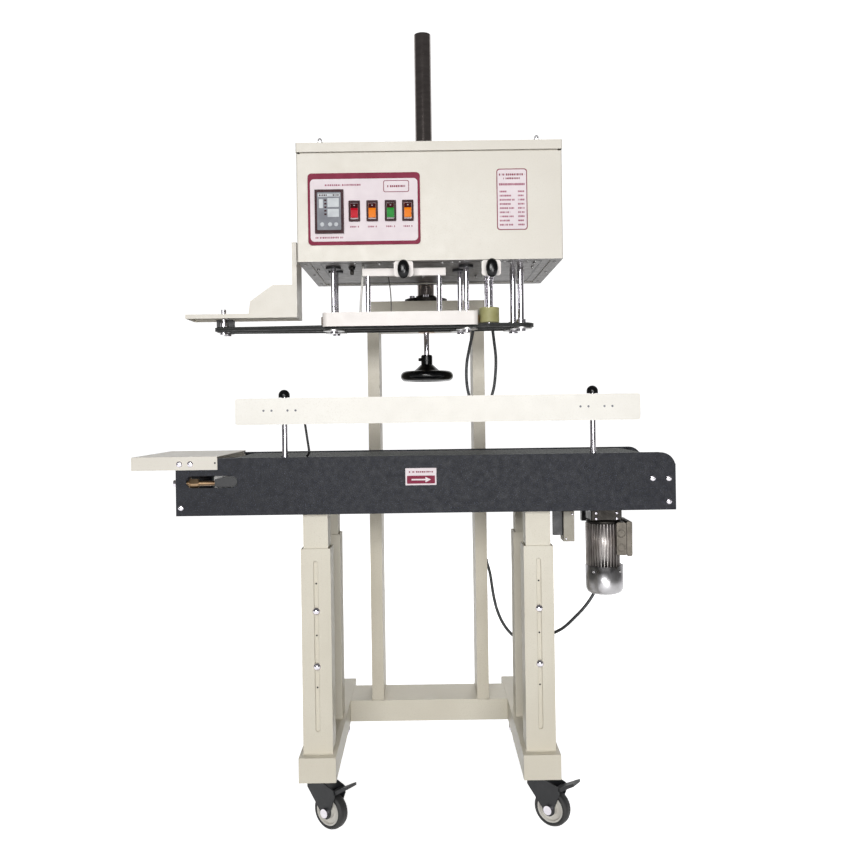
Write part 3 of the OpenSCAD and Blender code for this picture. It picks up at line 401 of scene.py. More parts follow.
BAND_AND_SHADE = band_cloth_and_painted_shade()
OLIVE = plastic("olive_rubber", (176, 173, 122), 0.58, (156, 152, 100), 0.08)
MAROON = plastic("maroon_foil", (142, 52, 76), 0.55, (130, 44, 66), 0.02, 0.12)
PINK = plastic("printed_rows", (172, 104, 124), 0.55, (160, 90, 112), 0.02, 0.12)
FOIL = plastic("white_foil", (243, 232, 235), 0.55, (236, 224, 228), 0.02, 0.12)
GREY_FACE = plastic("grey_face", (142, 144, 150), 0.5, (122, 124, 131), 0.02, 0.15)
DISPLAY = plastic("display_window", (214, 218, 220), 0.4, (190, 194, 198), 0.01, 0.2)
BEZEL = plastic("bezel_dark", (58, 20, 28), 0.45, (44, 14, 20), 0.01, 0.15)
ROCKER_DARK = plastic("rocker_dark", (70, 22, 26), 0.45, (54, 16, 20), 0.01, 0.12)
RED = plastic("red_lens", (206, 12, 42), 0.4, (176, 6, 30), 0.02, 0.12)
ORANGE = plastic("orange_lens", (246, 134, 14), 0.4, (234, 110, 8), 0.02, 0.12)
GREEN = plastic("green_lens", (46, 158, 60), 0.4, (28, 134, 46), 0.02, 0.12)
JACKET = cable_jacket()
SLEEVE = plastic("glass_sleeve", (232, 230, 224), 0.6, (206, 204, 198), 0.1)
GREY_WIRE = plastic("grey_wire", (128, 124, 120), 0.5, (104, 101, 98), 0.05)


# ---- Cables ----


def smooth(points, steps=8):
    """A smooth curve through the points."""
    points = [Vector(p) for p in points]
    ends = [points[0]] + points + [points[-1]]
    path = []
    for a, b, c, d in zip(ends, ends[1:], ends[2:], ends[3:]):
        for k in range(steps):
            t = k / steps
            path.append(0.5 * (2 * b + (c - a) * t + (2 * a - 5 * b + 4 * c - d) * t**2
                               + (3 * b - a - 3 * c + d) * t**3))
    return path + [points[-1]]


def free_cord(name, route, r, material, replaces=()):
    """A cable as a tube along a smooth curve through the route's points, fixed in place on no body."""
    path = smooth(route)
    shape = Shape()
    shape.tube(path, r)
    cord = shape.build(name, [material], None, replaces=replaces)
    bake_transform(cord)
    return cord


MOTOR_CABLE = [(420, 197, 560), (420, 212, 556), (412, 222, 535), (396, 220, 492), (376, 214, 440),
               (356, 213, 408), (332, 218, 380), (305, 240, 348), (276, 272, 325), (248, 297, 312),
               (222, 310, 308), (200, 318, 314), (180, 330, 336), (166, 342, 366), (158, 352, 400),
               (154, 360, 430), (150.5, 367, 455), (143.5, 372, 480)]
HEAD_CABLE = [(158, 350, 1145.5), (158.5, 349, 1124), (160, 345, 1092), (162, 341, 1052), (166, 339, 1012),
              (170, 338, 970), (168.5, 338, 930), (163, 338, 892), (150, 338, 860), (132, 338, 848),
              (113, 338, 860), (103, 338, 890), (99.5, 338, 922), (101, 338, 958), (107, 338, 990),
              (113, 339, 1016), (118, 341, 1040), (121, 350, 1062)]
HEATER_WIRE = [(-126, 96, 1152), (-126.5, 95, 1138), (-128, 95, 1120), (-130, 96, 1100), (-132, 98, 1080),
               (-133, 101, 1064), (-133.5, 104, 1052)]
SENSOR_WIRE = [(-77, 150, 1152), (-76, 148, 1140), (-73.5, 142, 1124), (-71, 136, 1106), (-69.5, 128, 1086),
               (-69, 122, 1068), (-69, 118, 1052)]
CABLE_R = 3.5

free_cord("motor_cable_run", MOTOR_CABLE, CABLE_R, JACKET,
          ["motor_cable"])
free_cord("head_cable_run", HEAD_CABLE, CABLE_R, JACKET, ["head_cable"])
free_cord("heater_wire", HEATER_WIRE, 2.4, SLEEVE)
free_cord("sensor_wire", SENSOR_WIRE, 1.3, GREY_WIRE)


# ---- Finishes of the CAD parts ----


def finish(node, material, *rules):
    """Gives a CAD node its materials. A rule is another material and a test of a face's middle (x, y, z)."""
    mesh = NODES[node].data
    mesh.materials.clear()
    for m in (material, *(rule[0] for rule in rules)):
        mesh.materials.append(m)
    for face in mesh.polygons:
        x, y, z = to_mm(face.center)
        hits = [i for i, rule in enumerate(rules, 1) if rule[1](x, y, z)]
        face.material_index = hits[0] if hits else 0


def near(x, y, cx, cy, r):
    return math.hypot(x - cx, y - cy) < r


LEG_X = 225
AXLE_Z = 37.5
DRIVE_Y, REAR_Y = 105, 159
SPINDLES = [(-190, DRIVE_Y), (-190, REAR_Y), (91, DRIVE_Y), (80, REAR_Y)]
OUTFEED = [(206, DRIVE_Y), (195, REAR_Y)]
INFEED = [(-425, 113.2), (-425, 150.8)]
POSTS = [-283, 337]
ARM_BOLTS = [1168, 1190]
KNOBS = [-39.5, 138.4]
MAST_X, MAST_Y = 6, 410

finish("side_rails", STAND)
finish("leg_sleeves", STAND)
# The columns take the darker copy of the stand's paint (painted shade); the crossbeam below 156 mm keeps the
# stand's own paint.
finish("column_frame", SHADED_STAND,
       (STAND, lambda x, y, z: z < 156),
       (BRASS, lambda x, y, z: near(x, y, MAST_X, MAST_Y, 20.5) and 1035.5 < z < 1061))
finish("mast", MAST, (CHROME, lambda x, y, z: z < 1125.5 and any(
    near(x, y, MAST_X + 39 * math.cos(math.radians(a)), MAST_Y + 39 * math.sin(math.radians(a)), 6.8)
    for a in range(30, 360, 60))), (DARK_STEEL, lambda x, y, z: z < 1126.5))
finish("handwheel", GLOSS_BLACK)
finish("lead_screw", CHROME)
finish("inner_legs", STAND, (CHROME, lambda x, y, z: y < 15.2 or y > 281.8))
finish("side_panels", WRINKLE)
finish("conveyor_frame", STEEL,
       (WRINKLE, lambda x, y, z: x > 496.5 or -501.2 < x < -497.8),
       (CHROME, lambda x, y, z: x < -501.2),
       (BRASS, lambda x, y, z: x < -424.1 and abs(z - 706) < 8.6 and (y < 18 or y > 268)),
       (BLACK, lambda x, y, z: x < -374 and (y < 16.5 or y > 269.5) and z > 690))
finish("infeed_plate", CREAM)
finish("conveyor_belt", BELT)
finish("chain_drive", BLACK, (STEEL, lambda x, y, z: 270.9 < y < 275.1 and z > 592 and 360 < x < 470
                              and not (z < 641 and (x > 425 or x < 359))))
finish("junction_box", SHADED_BOX_COAT, (BLACK, lambda x, y, z: x < 283.05 and y < 76))
finish("guide_posts", CHROME, (GLOSS_BLACK, lambda x, y, z: -256 < x < -230))
finish("drive_roller", STEEL)
finish("idler_roller", STEEL)
finish("motor_sprocket", STEEL)
finish("guide_rail", RAIL_WHITE, (STEEL, lambda x, y, z: y > 1.1 and 837 < z < 859
                                  and min(abs(x - p) for p in POSTS) < 10.5))
# Behind its front strip, the cream shell's bottom flange takes the underside colour: painted shade, since the
# flange lies in shadow.
finish("head_shell", CREAM, (UNDERSIDE_COAT_AND_SHADE, lambda x, y, z: z < 1150.3 and -253 < x < 283 and 21 < y < 381),
       (MATT_BLACK, lambda x, y, z: 194 < x < 233 and 1174 < z < 1206 and abs(y - 381) > 1.2))
finish("head_lid", CREAM, (ZINC, lambda x, y, z: z > 1391.02))
finish("base_plate", UNDERSIDE_COAT_AND_SHADE,
       (CHROME, lambda x, y, z: z < 1151.9 and any(near(x, y, a, b, 10.8) for a, b in OUTFEED)),
       (MATT_BLACK, lambda x, y, z: any(near(x, y, a, b, 16.4) for a, b in SPINDLES)
        and (z < 1151.9 or any(near(x, y, a, b, 12.2) for a, b in SPINDLES))),
       (WHITE, lambda x, y, z: y < 26.5 and z < 1150.1),
       (MATT_BLACK, lambda x, y, z: near(x, y, 158, 350, 8.2) and z < 1151.9))
finish("slide_collar", SHADED_STAND, (CHROME, lambda x, y, z: 388.05 < y < 394 and abs(x - MAST_X) > 40),
       (BRONZE, lambda x, y, z: 1194 < z < 1236 and (near(x, y, MAST_X, MAST_Y, 15.5) or y > 434)))
finish("control_panel", MAROON, (BEZEL, lambda x, y, z: y > 20.05 or y < 16.9))
finish("infeed_tray", CREAM,
       (CHROME, lambda x, y, z: any(near(x, y, a, b, 8.4) for a, b in INFEED) and not 1045.9 < z < 1055.05),
       (CHROME, lambda x, y, z: (x > -265.9 or x < -269.1)
        and any(math.hypot(y - 132, z - b) < 8.4 for b in ARM_BOLTS)))
finish("sealing_bands", BAND_AND_SHADE)
finish("rear_blocks", BRONZE, (STEEL, lambda x, y, z: z > 1048.05))
finish("head_motor", DARK_STEEL)
for node in ("drive_wheel_front", "drive_wheel_rear", "idler_wheel_front", "idler_wheel_rear"):
    finish(node, CHROME, (STEEL, lambda x, y, z: 1015.9 < z < 1047))
finish("outfeed_pulley_front", STEEL)
finish("outfeed_pulley_rear", STEEL)
for node in ("infeed_pulley_front", "infeed_pulley_rear"):
    finish(node, MATT_BLACK, (CHROME, lambda x, y, z: z > 1028.6))
finish("front_carriage", WHITE,
       (CHROME, lambda x, y, z: 1051.6 < z < 1126 and 66.5 < y < 77.5 and min(abs(x + 115), abs(x - 33)) < 5.6),
       (STEEL, lambda x, y, z: 1048.05 < z < 1051.8 and y > 65.2),
       (BRONZE, lambda x, y, z: y > 109 and z < 1048.2))
finish("roller_arm", CHROME, (STEEL, lambda x, y, z: z > 1128.9))
finish("pressure_roller", OLIVE)
finish("backing_roller", STEEL)
finish("guide_knob_left", GLOSS_BLACK)
finish("guide_knob_right", GLOSS_BLACK)
finish("caster_mounts", BLACK, (STEEL, lambda x, y, z: z > 101.9),
       (CHROME, lambda x, y, z: math.hypot(y - 490, z - AXLE_Z) < 9.3 and abs(abs(x) - LEG_X) > 18))
for side in ("fl", "fr"):
    low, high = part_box("caster_wheel_" + side)
    middle = to_mm([(a + b) / 2 for a, b in zip(low, high)])
    finish("caster_fork_" + side, BLACK, (CHROME, lambda x, y, z, c=middle: math.dist((x, y, z), c) < 25.5
                                          and abs((x - c.x) * 0.574 + (y - c.y) * 0.819) > 18.05
                                          and abs(z - AXLE_Z) < 9.2))
    finish("brake_pedal_" + side, MATT_BLACK)
    finish("caster_wheel_" + side, TYRE, (HUB, lambda x, y, z, c=middle: math.hypot(
        (x - c.x) * 0.819 - (y - c.y) * 0.574, z - AXLE_Z) < 27.9))
for side in ("rl", "rr"):
    finish("caster_wheel_" + side, TYRE, (HUB, lambda x, y, z: math.hypot(y - 490, z - AXLE_Z) < 27.9))
for name, lens in (("power", RED), ("motor", ORANGE), ("heater", GREEN), ("fan", ORANGE)):
    finish("rocker_" + name, lens)

for node in ("side_rails", "leg_sleeves", "inner_legs", "column_frame", "head_shell", "guide_rail",
             "infeed_plate", "infeed_tray", "junction_box", "side_panels", "head_lid"):
    round_edges(NODES[node], 0.8, weld=True)


# ---- Screws, rivets and nuts ----


def screw(shape, at, axis, r, h, slot=0, socket=True):
    """A domed screw head with a hex socket, standing h proud."""
    rim = [(r, 0), (r, h * 0.25), (r * 0.93, h * 0.55), (r * 0.72, h * 0.86), (r * 0.45, h)]
    if socket:
        rim += [(r * 0.42, h), (r * 0.38, h * 0.35)]
    shape.lathe([(r * 0.5, -0.3)] + rim + [(0.01, h * (0.35 if socket else 1.02))], at, axis, slot, 20)


def hex_head(shape, at, axis, r, h, slot=0):
    shape.lathe([(r, 0), (r, h * 0.8), (r * 0.86, h), (0.01, h)], at, axis, slot, 6, smooth=False)
    shape.lathe([(r * 1.25, -0.8), (r * 1.25, 0.1), (r * 0.6, 0.1)], at, axis, slot, 24)


def dots(shape, places, axis, r, slot=0, depth=0.35):
    for at in places:
        shape.lathe([(r, 0), (r, depth * 0.6), (r * 0.8, depth), (0.01, depth)], at, axis, slot, 14)


FRONT = (0, -1, 0)
BACK = (0, 1, 0)
DOWN = (0, 0, -1)
UP = (0, 0, 1)
LEFT = (-1, 0, 0)
RIGHT = (1, 0, 0)
DEPTH = 286

shape = Shape()
for y, axis in ((0, FRONT), (DEPTH, BACK)):
    for x, z in ((-491, 658), (454, 704.5), (486, 704), (486, 658)):
        screw(shape, (x, y, z), axis, 6.2, 3.4)
    for x in (-493.5, -471.5):
        screw(shape, (x, y, 745), axis, 6.2, 3.4)
shape.build("conveyor_screws", [CHROME], "conveyor")

shape = Shape()
for y, axis in ((0, FRONT), (DEPTH, BACK)):
    dots(shape, [(-422, y, 746.8)], axis, 1.8)
shape.build("infeed_plate_holes", [MATT_BLACK], "conveyor")

shape = Shape()
dots(shape, [(x, -1, 850) for x in (-323, -307, -275, -259, 311, 327, 359, 375)], FRONT, 2.2)
shape.build("guide_rail_rivets", [GREY_FACE], "guide_rail")

shape = Shape()
for x in (-LEG_X, LEG_X):
    for y, axis in ((15, FRONT), (282, BACK)):
        dots(shape, [(x, y + (5 if y < 100 else -5), z) for z in (289, 394, 499)], axis, 1.8, depth=0.5)
shape.build("leg_index_marks", [DARK_STEEL], "conveyor")

shape = Shape()
for z in (1345, 1313, 1232):
    screw(shape, (-254, 60, z), LEFT, 4, 2.2, socket=False)
    screw(shape, (284, 60, z), RIGHT, 4, 2.2, socket=False)
    for x in (-210, 230):
        screw(shape, (x, 382, z), BACK, 4, 2.2)
shape.build("head_rivets", [CHROME], "head")

# Screws on the head's underside
shape = Shape()
for x, y in ((60, 48), (75, 40), (120, 44), (138, 58), (168, 46), (182, 60), (214, 44), (232, 52), (232, 80),
             (40, 52), (-60, 48), (-90, 60), (-140, 48), (160, 132), (235, 132), (-225, 132), (0, 240),
             (120, 250)):
    screw(shape, (x, y, 1152), DOWN, 3, 4.5)
for x in (-242, 272):
    for y in (60, 200, 340):
        screw(shape, (x, y, 1150), DOWN, 3.2, 2)
shape.build("underside_screws", [STEEL], "head")

# The removable plate within the underside, with its dark seam
shape = Shape()
LOW, HIGH = (-212, 58), (246, 344)
SEAM = 1.6
for (x0, y0), (x1, y1) in (((LOW[0], LOW[1]), (HIGH[0], LOW[1] + SEAM)), ((LOW[0], HIGH[1] - SEAM), HIGH),
                           ((LOW[0], LOW[1]), (LOW[0] + SEAM, HIGH[1])), ((HIGH[0] - SEAM, LOW[1]), HIGH)):
    shape.box((x0, y0, 1151.6), (x1, y1, 1152.1))
shape.build("underside_seam", [MATT_BLACK], "head")

# A cranked gusset plate and a bolt that hang from the underside
shape = Shape()
shape.prism([(0, 0), (14, 0), (14, -8), (6, -46), (0, -46)], (138, 236, 1152), (1, 0, 0), (0, 0, 1), 4)
shape.build("underside_bracket", [DARK_STEEL], "head", bevel=0.8)
shape = Shape()
shape.lathe([(4, 0), (4, 16), (2.5, 18), (0.01, 18)], (-150, 100, 1152), DOWN)
hex_head(shape, (-150, 100, 1150), DOWN, 6.5, 5)
shape.build("underside_bolt", [DARK_STEEL], "head")


# ---- Control panel ----

PANEL_FACE = 17
PANEL = (-231, -4, 1183, 1328)
CONTROL_X, CONTROL_Z = -187.5, 1250
ROCKERS = {"power": -137, "motor": -101, "heater": -64, "fan": -29}
ROCKER_Z = 1250.5


def rounded(x0, x1, z0, z1, r, steps=6):
    """A rectangle with round corners, as (x, z) pairs."""
    points = []
    left, right, low, high = x0 + r, x1 - r, z0 + r, z1 - r
    for cx, cz, start in ((right, high, 0), (left, high, 90), (left, low, 180), (right, low, 270)):
        for k in range(steps + 1):
            a = math.radians(start + 90 * k / steps)
            points.append((cx + r * math.cos(a), cz + r * math.sin(a)))
    return points


def plate(shape, outline, y, depth, slot=0):
    """A thin plate that faces the front, from y back to y + depth."""
    shape.prism(outline, (0, y + depth, 0), (1, 0, 0), (0, 0, 1), depth, slot)


def rows(shape, x0, x1, z, count, y, slot, h=1.6, gap=1.1, seed=3):
    """A row of short bars in place of print."""
    x, k = x0, seed
    while x < x1:
        k = (k * 29 + 11) % 37
        w = 1.2 + 2.4 * k / 37
        plate(shape, [(x, z), (min(x + w, x1), z), (min(x + w, x1), z + h), (x, z + h)], y, 0.12, slot)
        x += w + (gap * 3 if k % count == 0 else gap)


shape = Shape()
field = rounded(PANEL[0] + 5, PANEL[1] - 5, PANEL[2] + 7, PANEL[3] - 12, 8)
plate(shape, field, PANEL_FACE - 0.25, 0.25, 0)
rows(shape, -196, -124, 1302, 7, PANEL_FACE - 0.4, 1, 3.4)
rows(shape, -216, -160, 1196, 6, PANEL_FACE - 0.4, 1, 3.4, seed=9)
for x in ROCKERS.values():
    rows(shape, x - 9, x + 9, 1217.5, 9, PANEL_FACE - 0.4, 1, 3.2, seed=5)
outer, inner = rounded(-78, -26, 1288, 1312, 4), rounded(-76.6, -27.4, 1289.4, 1310.6, 3)
plate(shape, outer, PANEL_FACE - 0.4, 0.12, 2)
plate(shape, inner, PANEL_FACE - 0.5, 0.12, 0)
rows(shape, -70, -34, 1298, 8, PANEL_FACE - 0.62, 2, 4, seed=4)
shape.build("panel_foil", [FOIL, PINK, MAROON], "head")

# Temperature controller: bezel, grey face, display windows and keys
shape = Shape()
FACE_Y = 11
cx, cz = CONTROL_X, CONTROL_Z
plate(shape, rounded(cx - 24, cx + 24, cz - 38, cz + 38, 2), FACE_Y - 1.2, 1.2, 0)
plate(shape, rounded(cx - 22, cx + 22, cz + 29, cz + 35, 1), FACE_Y - 1.4, 0.2, 1)
rows(shape, cx - 20, cx - 4, cz + 30.5, 9, FACE_Y - 1.6, 2, 3)
rows(shape, cx + 8, cx + 20, cz + 30.5, 9, FACE_Y - 1.6, 2, 3, seed=7)
for x0, x1, z0, z1 in ((-3, 20, 8, 26), (-3, 20, -12, 4), (-20, -12, 6, 24)):
    plate(shape, rounded(cx + x0, cx + x1, cz + z0, cz + z1, 1), FACE_Y - 1.8, 0.6, 1)
for z in (20, 13, 6, -1, -8):
    plate(shape, rounded(cx - 9.5, cx - 5, cz + z, cz + z + 3.4, 0.6), FACE_Y - 1.6, 0.4, 2)
for x in (-14, 2, 14):
    shape.lathe([(4.2, 0), (4.2, 1.2), (3.2, 1.9), (0.01, 2.1)], (cx + x, FACE_Y - 1.2, cz - 27), FRONT, 1, 20)
shape.build("controller_face", [GREY_FACE, DISPLAY, BEZEL], "head", bevel=0.2)

# Each rocker's bezel, and the dark upper part of its cap with a small mark
for name, x in ROCKERS.items():
    shape = Shape()
    outer = rounded(x - 11.5, x + 11.5, ROCKER_Z - 21, ROCKER_Z + 21, 1.5)
    inner = rounded(x - 8, x + 8, ROCKER_Z - 16.8, ROCKER_Z + 16.8, 1)
    low = [(a, 13.4, b) for a, b in inner]
    high = [(a, 13.4, b) for a, b in outer]
    shape.grid([[(a, 16.9, b) for a, b in outer], high, low, [(a, 18, b) for a, b in inner]],
               closed=True, smooth=False)
    shape.build("rocker_bezel_" + name, [BEZEL], "head")
    shape = Shape()
    tilt = math.radians(-8)
    face_a, face_b = Vector((0, -7.5, 0)), Vector((0, -5.5, 15))
    turn = Matrix.Rotation(tilt, 3, "X")
    a, b = turn @ face_a, turn @ face_b
    start, end = a.lerp(b, 0.3), a.lerp(b, 0.99)
    out = (b - a).cross(Vector((1, 0, 0))).normalized() * -0.25
    if out.y > 0:
        out = -out
    centre = Vector((x, 19, ROCKER_Z))
    for lift, half, s, e, slot in ((1, 7.1, start, end, 0), (1.6, 1.3, a.lerp(b, 0.62), a.lerp(b, 0.74), 1)):
        corners = [centre + s + Vector((-half, 0, 0)), centre + s + Vector((half, 0, 0)),
                   centre + e + Vector((half, 0, 0)), centre + e + Vector((-half, 0, 0))]
        shape.grid([[p + out * lift for p in corners], [p - out * 0.5 for p in corners]], slot,
                   closed=True, smooth=False)
        shape.face([p + out * lift for p in corners], slot)
    shape.build("rocker_mark_" + name, [ROCKER_DARK, DISPLAY], "rocker_" + name)

# Rating plate with rows of bars
shape = Shape()
RATING = (151, 213, 1209, 1333)
plate(shape, rounded(*RATING, 6), 19.6, 0.4, 1)
plate(shape, rounded(RATING[0] + 1.8, RATING[1] - 1.8, RATING[2] + 1.8, RATING[3] - 1.8, 5), 19.5, 0.3, 0)
rows(shape, 156, 208, 1319, 8, 19.4, 1, 4)
rows(shape, 165, 198, 1311.5, 8, 19.4, 1, 3.4, seed=6)
rows(shape, 156, 208, 1299, 11, 19.4, 2, 4.5, gap=0.5, seed=8)
for i in range(9):
    z = 1285 - 8.4 * i
    rows(shape, 157, 157 + 16 + (i * 7) % 15, z, 9, 19.4, 2, 3.4, gap=0.7, seed=i)
    rows(shape, 194, 207, z, 9, 19.4, 2, 3.4, gap=0.7, seed=i + 4)
shape.build("rating_plate", [FOIL, MAROON, PINK], "head")

# Direction plate: a plain band with one straight arrow along the feed
shape = Shape()
X0, X1, Z0, Z1 = -41, 21, 697, 731
plate(shape, rounded(X0, X1, Z0, Z1, 1), -0.35, 0.35, 0)
plate(shape, rounded(X0 + 3, X1 - 3, Z0 + 3, Z0 + 19, 1), -0.5, 0.2, 1)
ARROW = [(12, 9.5), (40, 9.5), (40, 5.5), (51, 11), (40, 16.5), (40, 12.5), (12, 12.5)]
plate(shape, [(X0 + x, Z0 + z) for x, z in ARROW], -0.65, 0.2, 0)
rows(shape, X0 + 7, X1 - 7, Z1 - 9, 8, -0.5, 1, 3)
shape.build("direction_plate", [FOIL, MAROON], "conveyor")


# ---- Conveyor details ----

shape = Shape()
for y in (9.5, DEPTH - 9.5):
    shape.thread((-490, y, 706), RIGHT, 66, 4.5, 5.4, 1.75)
    hex_head(shape, (-473, y, 706), RIGHT, 10, 17)
shape.build("tensioner_threads", [BRASS], "conveyor")

# Gear motor: flange, gearbox, finned body, fan cowl, terminal box
MOTOR_X, MOTOR_Y = 384, 152
COWL_Z, BODY_Z, BODY_TOP = 447, 506, 599


def ring_of(count, r, start=0.0):
    for k in range(count):
        a = 2 * math.pi * k / count + start
        yield a, MOTOR_X + r * math.cos(a), MOTOR_Y + r * math.sin(a)


shape = Shape()
shape.lathe([(34, 0), (34, BODY_TOP - BODY_Z)], (MOTOR_X, MOTOR_Y, BODY_Z), UP, 0, 48)
for a, x, y in ring_of(36, 36.5):
    if math.cos(a) > 0.82:
        continue
    u = Vector((math.cos(a), math.sin(a), 0))
    side = Vector((-u.y, u.x, 0))
    base = Vector((MOTOR_X, MOTOR_Y, BODY_Z + 1)) + u * 33
    tip = 6.2 if abs(math.sin(2 * a)) < 0.9 else 4.5
    shape.prism([(0, -1), (tip, -0.6), (tip, 0.6), (0, 1)], base, u, side, BODY_TOP - BODY_Z - 2)
shape.build("motor_fins", [CAST], "conveyor", replaces=["gearmotor"])

shape = Shape()
COWL_H = BODY_Z - COWL_Z + 1
cowl = [(10, 0.6), (31, 0.4), (36, 2.5), (39.3, 8), (40.4, 16), (40.4, COWL_H), (38.6, COWL_H),
        (38.6, 18), (36, 9), (10, 3)]
shape.lathe(cowl, (MOTOR_X, MOTOR_Y, COWL_Z), UP, 0, 56)
for r in (14, 19, 24, 29):
    shape.lathe([(r - 1.1, 0), (r, -0.9), (r + 1.1, 0), (r, 0.4)], (MOTOR_X, MOTOR_Y, COWL_Z + 0.4), UP, 1, 48)
for a, x, y in ring_of(4, 40.2, math.pi / 4):
    screw(shape, (x, y, BODY_Z - 10), (math.cos(a), math.sin(a), 0), 3, 2)
COWL_PLATE = metal("cowl_plate", (186, 185, 188), 0.34, shade=(158, 156, 156), depth=0.003)
shape.build("motor_cowl", [COWL_PLATE, DARK_STEEL], "conveyor")

shape = Shape()
shape.lathe([(30, 0), (38, 1), (38, 8), (30, 9)], (MOTOR_X, MOTOR_Y, BODY_TOP - 2), UP, 0, 48)
shape.box((MOTOR_X - 33, MOTOR_Y - 33, 605), (MOTOR_X + 33, MOTOR_Y + 33, 632))
shape.box((MOTOR_X - 45, MOTOR_Y - 45, 632), (MOTOR_X + 45, MOTOR_Y + 45, 643.9))
shape.build("gearbox", [DARK_STEEL], "conveyor", bevel=2.5)
shape = Shape()
for sx in (-1, 1):
    for sy in (-1, 1):
        hex_head(shape, (MOTOR_X + 38 * sx, MOTOR_Y + 38 * sy, 632), DOWN, 4.5, 4)
    screw(shape, (MOTOR_X + 22 * sx, MOTOR_Y - 33, 622), FRONT, 3.4, 2.4)
    screw(shape, (MOTOR_X + 22 * sx, MOTOR_Y - 33, 610), FRONT, 3.4, 2.4)
shape.build("gearbox_bolts", [CHROME], "conveyor")

shape = Shape()
BOX_Y, BOX_DEPTH = 190, 76
shape.prism(rounded(404, 425, 532, 602, 4), (0, BOX_Y, 0), RIGHT, UP, BOX_DEPTH)
shape.prism(rounded(425.6, 437.5, 530, 604, 3.5), (0, BOX_Y, 0), RIGHT, UP, BOX_DEPTH)
for z in (548, 578):
    for y, axis in ((BOX_Y - BOX_DEPTH, FRONT), (BOX_Y, BACK)):
        if y == BOX_Y and z == 548:
            continue
        shape.lathe([(8.7, 0), (8.7, 0.9), (7.4, 0.9), (7.4, 0.1), (0.01, 0.1)], (414, y, z), axis)
shape.build("motor_terminal_box", [BOX_CAST], "conveyor", bevel=1.2)

shape = Shape()
shape.lathe([(9, 0), (9, 3.5), (8.2, 4), (8.2, 6)], (420, BOX_Y, 560), BACK, 0, 6)
shape.lathe([(7.6, 3.8), (7.6, 7), (6.2, 9.5), (4.4, 14), (3.6, 16)], (420, BOX_Y, 560), BACK, 0, 24)
shape.build("motor_gland", [MATT_BLACK], "conveyor")

# Lid edge and screws of the junction box
shape = Shape()
plate(shape, rounded(283.5, 305, 572, 633, 2), 58.8, 1.2, 0)
for x, z in ((288, 577), (301, 628)):
    screw(shape, (x, 58.8, z), FRONT, 2.2, 1.2, 1)
shape.build("junction_box_lid", [SHADED_BOX_COAT, CHROME], "conveyor", bevel=0.5)


# ---- Guide belts with ribs ----


def belt_path(circles, steps=20):
    """The outline around circles (x, y, r) given anticlockwise, as (point, outward) pairs."""
    path = []
    count = len(circles)
    starts = []
    for i in range(count):
        (ax, ay, ar), (bx, by, br) = circles[i], circles[(i + 1) % count]
        heading = math.atan2(by - ay, bx - ax)
        swing = math.asin(max(-1, min(1, (br - ar) / math.hypot(bx - ax, by - ay))))
        starts.append(heading - math.pi / 2 - swing)
    for i, (x, y, r) in enumerate(circles):
        a0, a1 = starts[i - 1], starts[i]
        while a1 < a0 - 1e-9:
            a1 += 2 * math.pi
        turn = max(1, int(steps * (a1 - a0) / math.pi))
        for k in range(turn + 1):
            a = a0 + (a1 - a0) * k / turn
            path.append(((x + r * math.cos(a), y + r * math.sin(a)), (math.cos(a), math.sin(a))))
    return path


def ribbed_belt(circles, z0, z1, thick):
    """A belt with two ribs around its outside."""
    ribs = 2
    pitch = (z1 - z0) / ribs
    section = [(0, z0)]
    for i in range(ribs):
        base = z0 + i * pitch
        section += [(thick * 0.72, base + pitch * 0.04), (thick, base + pitch * 0.22),
                    (thick, base + pitch * 0.78), (thick * 0.72, base + pitch * 0.96)]
    section.append((0, z1))
    shape = Shape()
    loop = [[(p[0] + n[0] * d, p[1] + n[1] * d, z) for d, z in section] for p, n in belt_path(circles)]
    shape.grid(loop + [loop[0]], closed=True)
    return shape


PULLEY_R, IN_R, SLACK = 21.8, 14, 0.4
for name, (in_x, in_y), (out_x, run_y) in zip(("front", "rear"), INFEED, OUTFEED):
    middle, far = (SPINDLES[0][0], run_y, PULLEY_R + SLACK), (out_x, run_y, PULLEY_R + SLACK)
    pair = [middle, far] if name == "front" else [far, middle]
    belt = ribbed_belt([(in_x, in_y, IN_R + SLACK)] + pair, 1019, 1027.5, 4.4)
    belt.build("guide_belt_" + name, [RIBBED], "head", replaces=["guide_belts"] if name == "front" else ())

# Black idler bracket at the tray's infeed end
shape = Shape()
shape.prism(rounded(-443, -407, 1029, 1045.9, 2), (0, 141, 0), RIGHT, UP, 18)
shape.build("infeed_bracket", [MATT_BLACK], "head", bevel=0.8)


# Each adjusting knob: a smooth oval grip on a chrome stem


def bulge(value, power):
    return math.copysign(abs(value) ** power, value)


for x, stem_end, name in ((KNOBS[0], 66, "carriage_knob"), (KNOBS[1], 62, "roller_knob")):
    shape = Shape()
    rows_of = []
    for k in range(15):
        a = math.pi * k / 14
        y, grow = 6 - 10 * math.cos(a), max(math.sin(a) ** 0.62, 0.02)
        rows_of.append([(x + 12 * grow * bulge(math.cos(t), 0.85), y,
                         1131 + 19 * grow * bulge(math.sin(t), 0.95))
                        for t in (2 * math.pi * i / 32 for i in range(32))])
    shape.grid(rows_of, closed=True)
    shape.lathe([(6, 0), (6, 5), (4, 6), (4, stem_end - 14)], (x, 14, 1131), BACK, 1, 20)
    shape.build(name + "_grip", [GLOSS_BLACK, CHROME], name, replaces=[name])


# ---- Cable clips, grommets, small parts of the stand ----

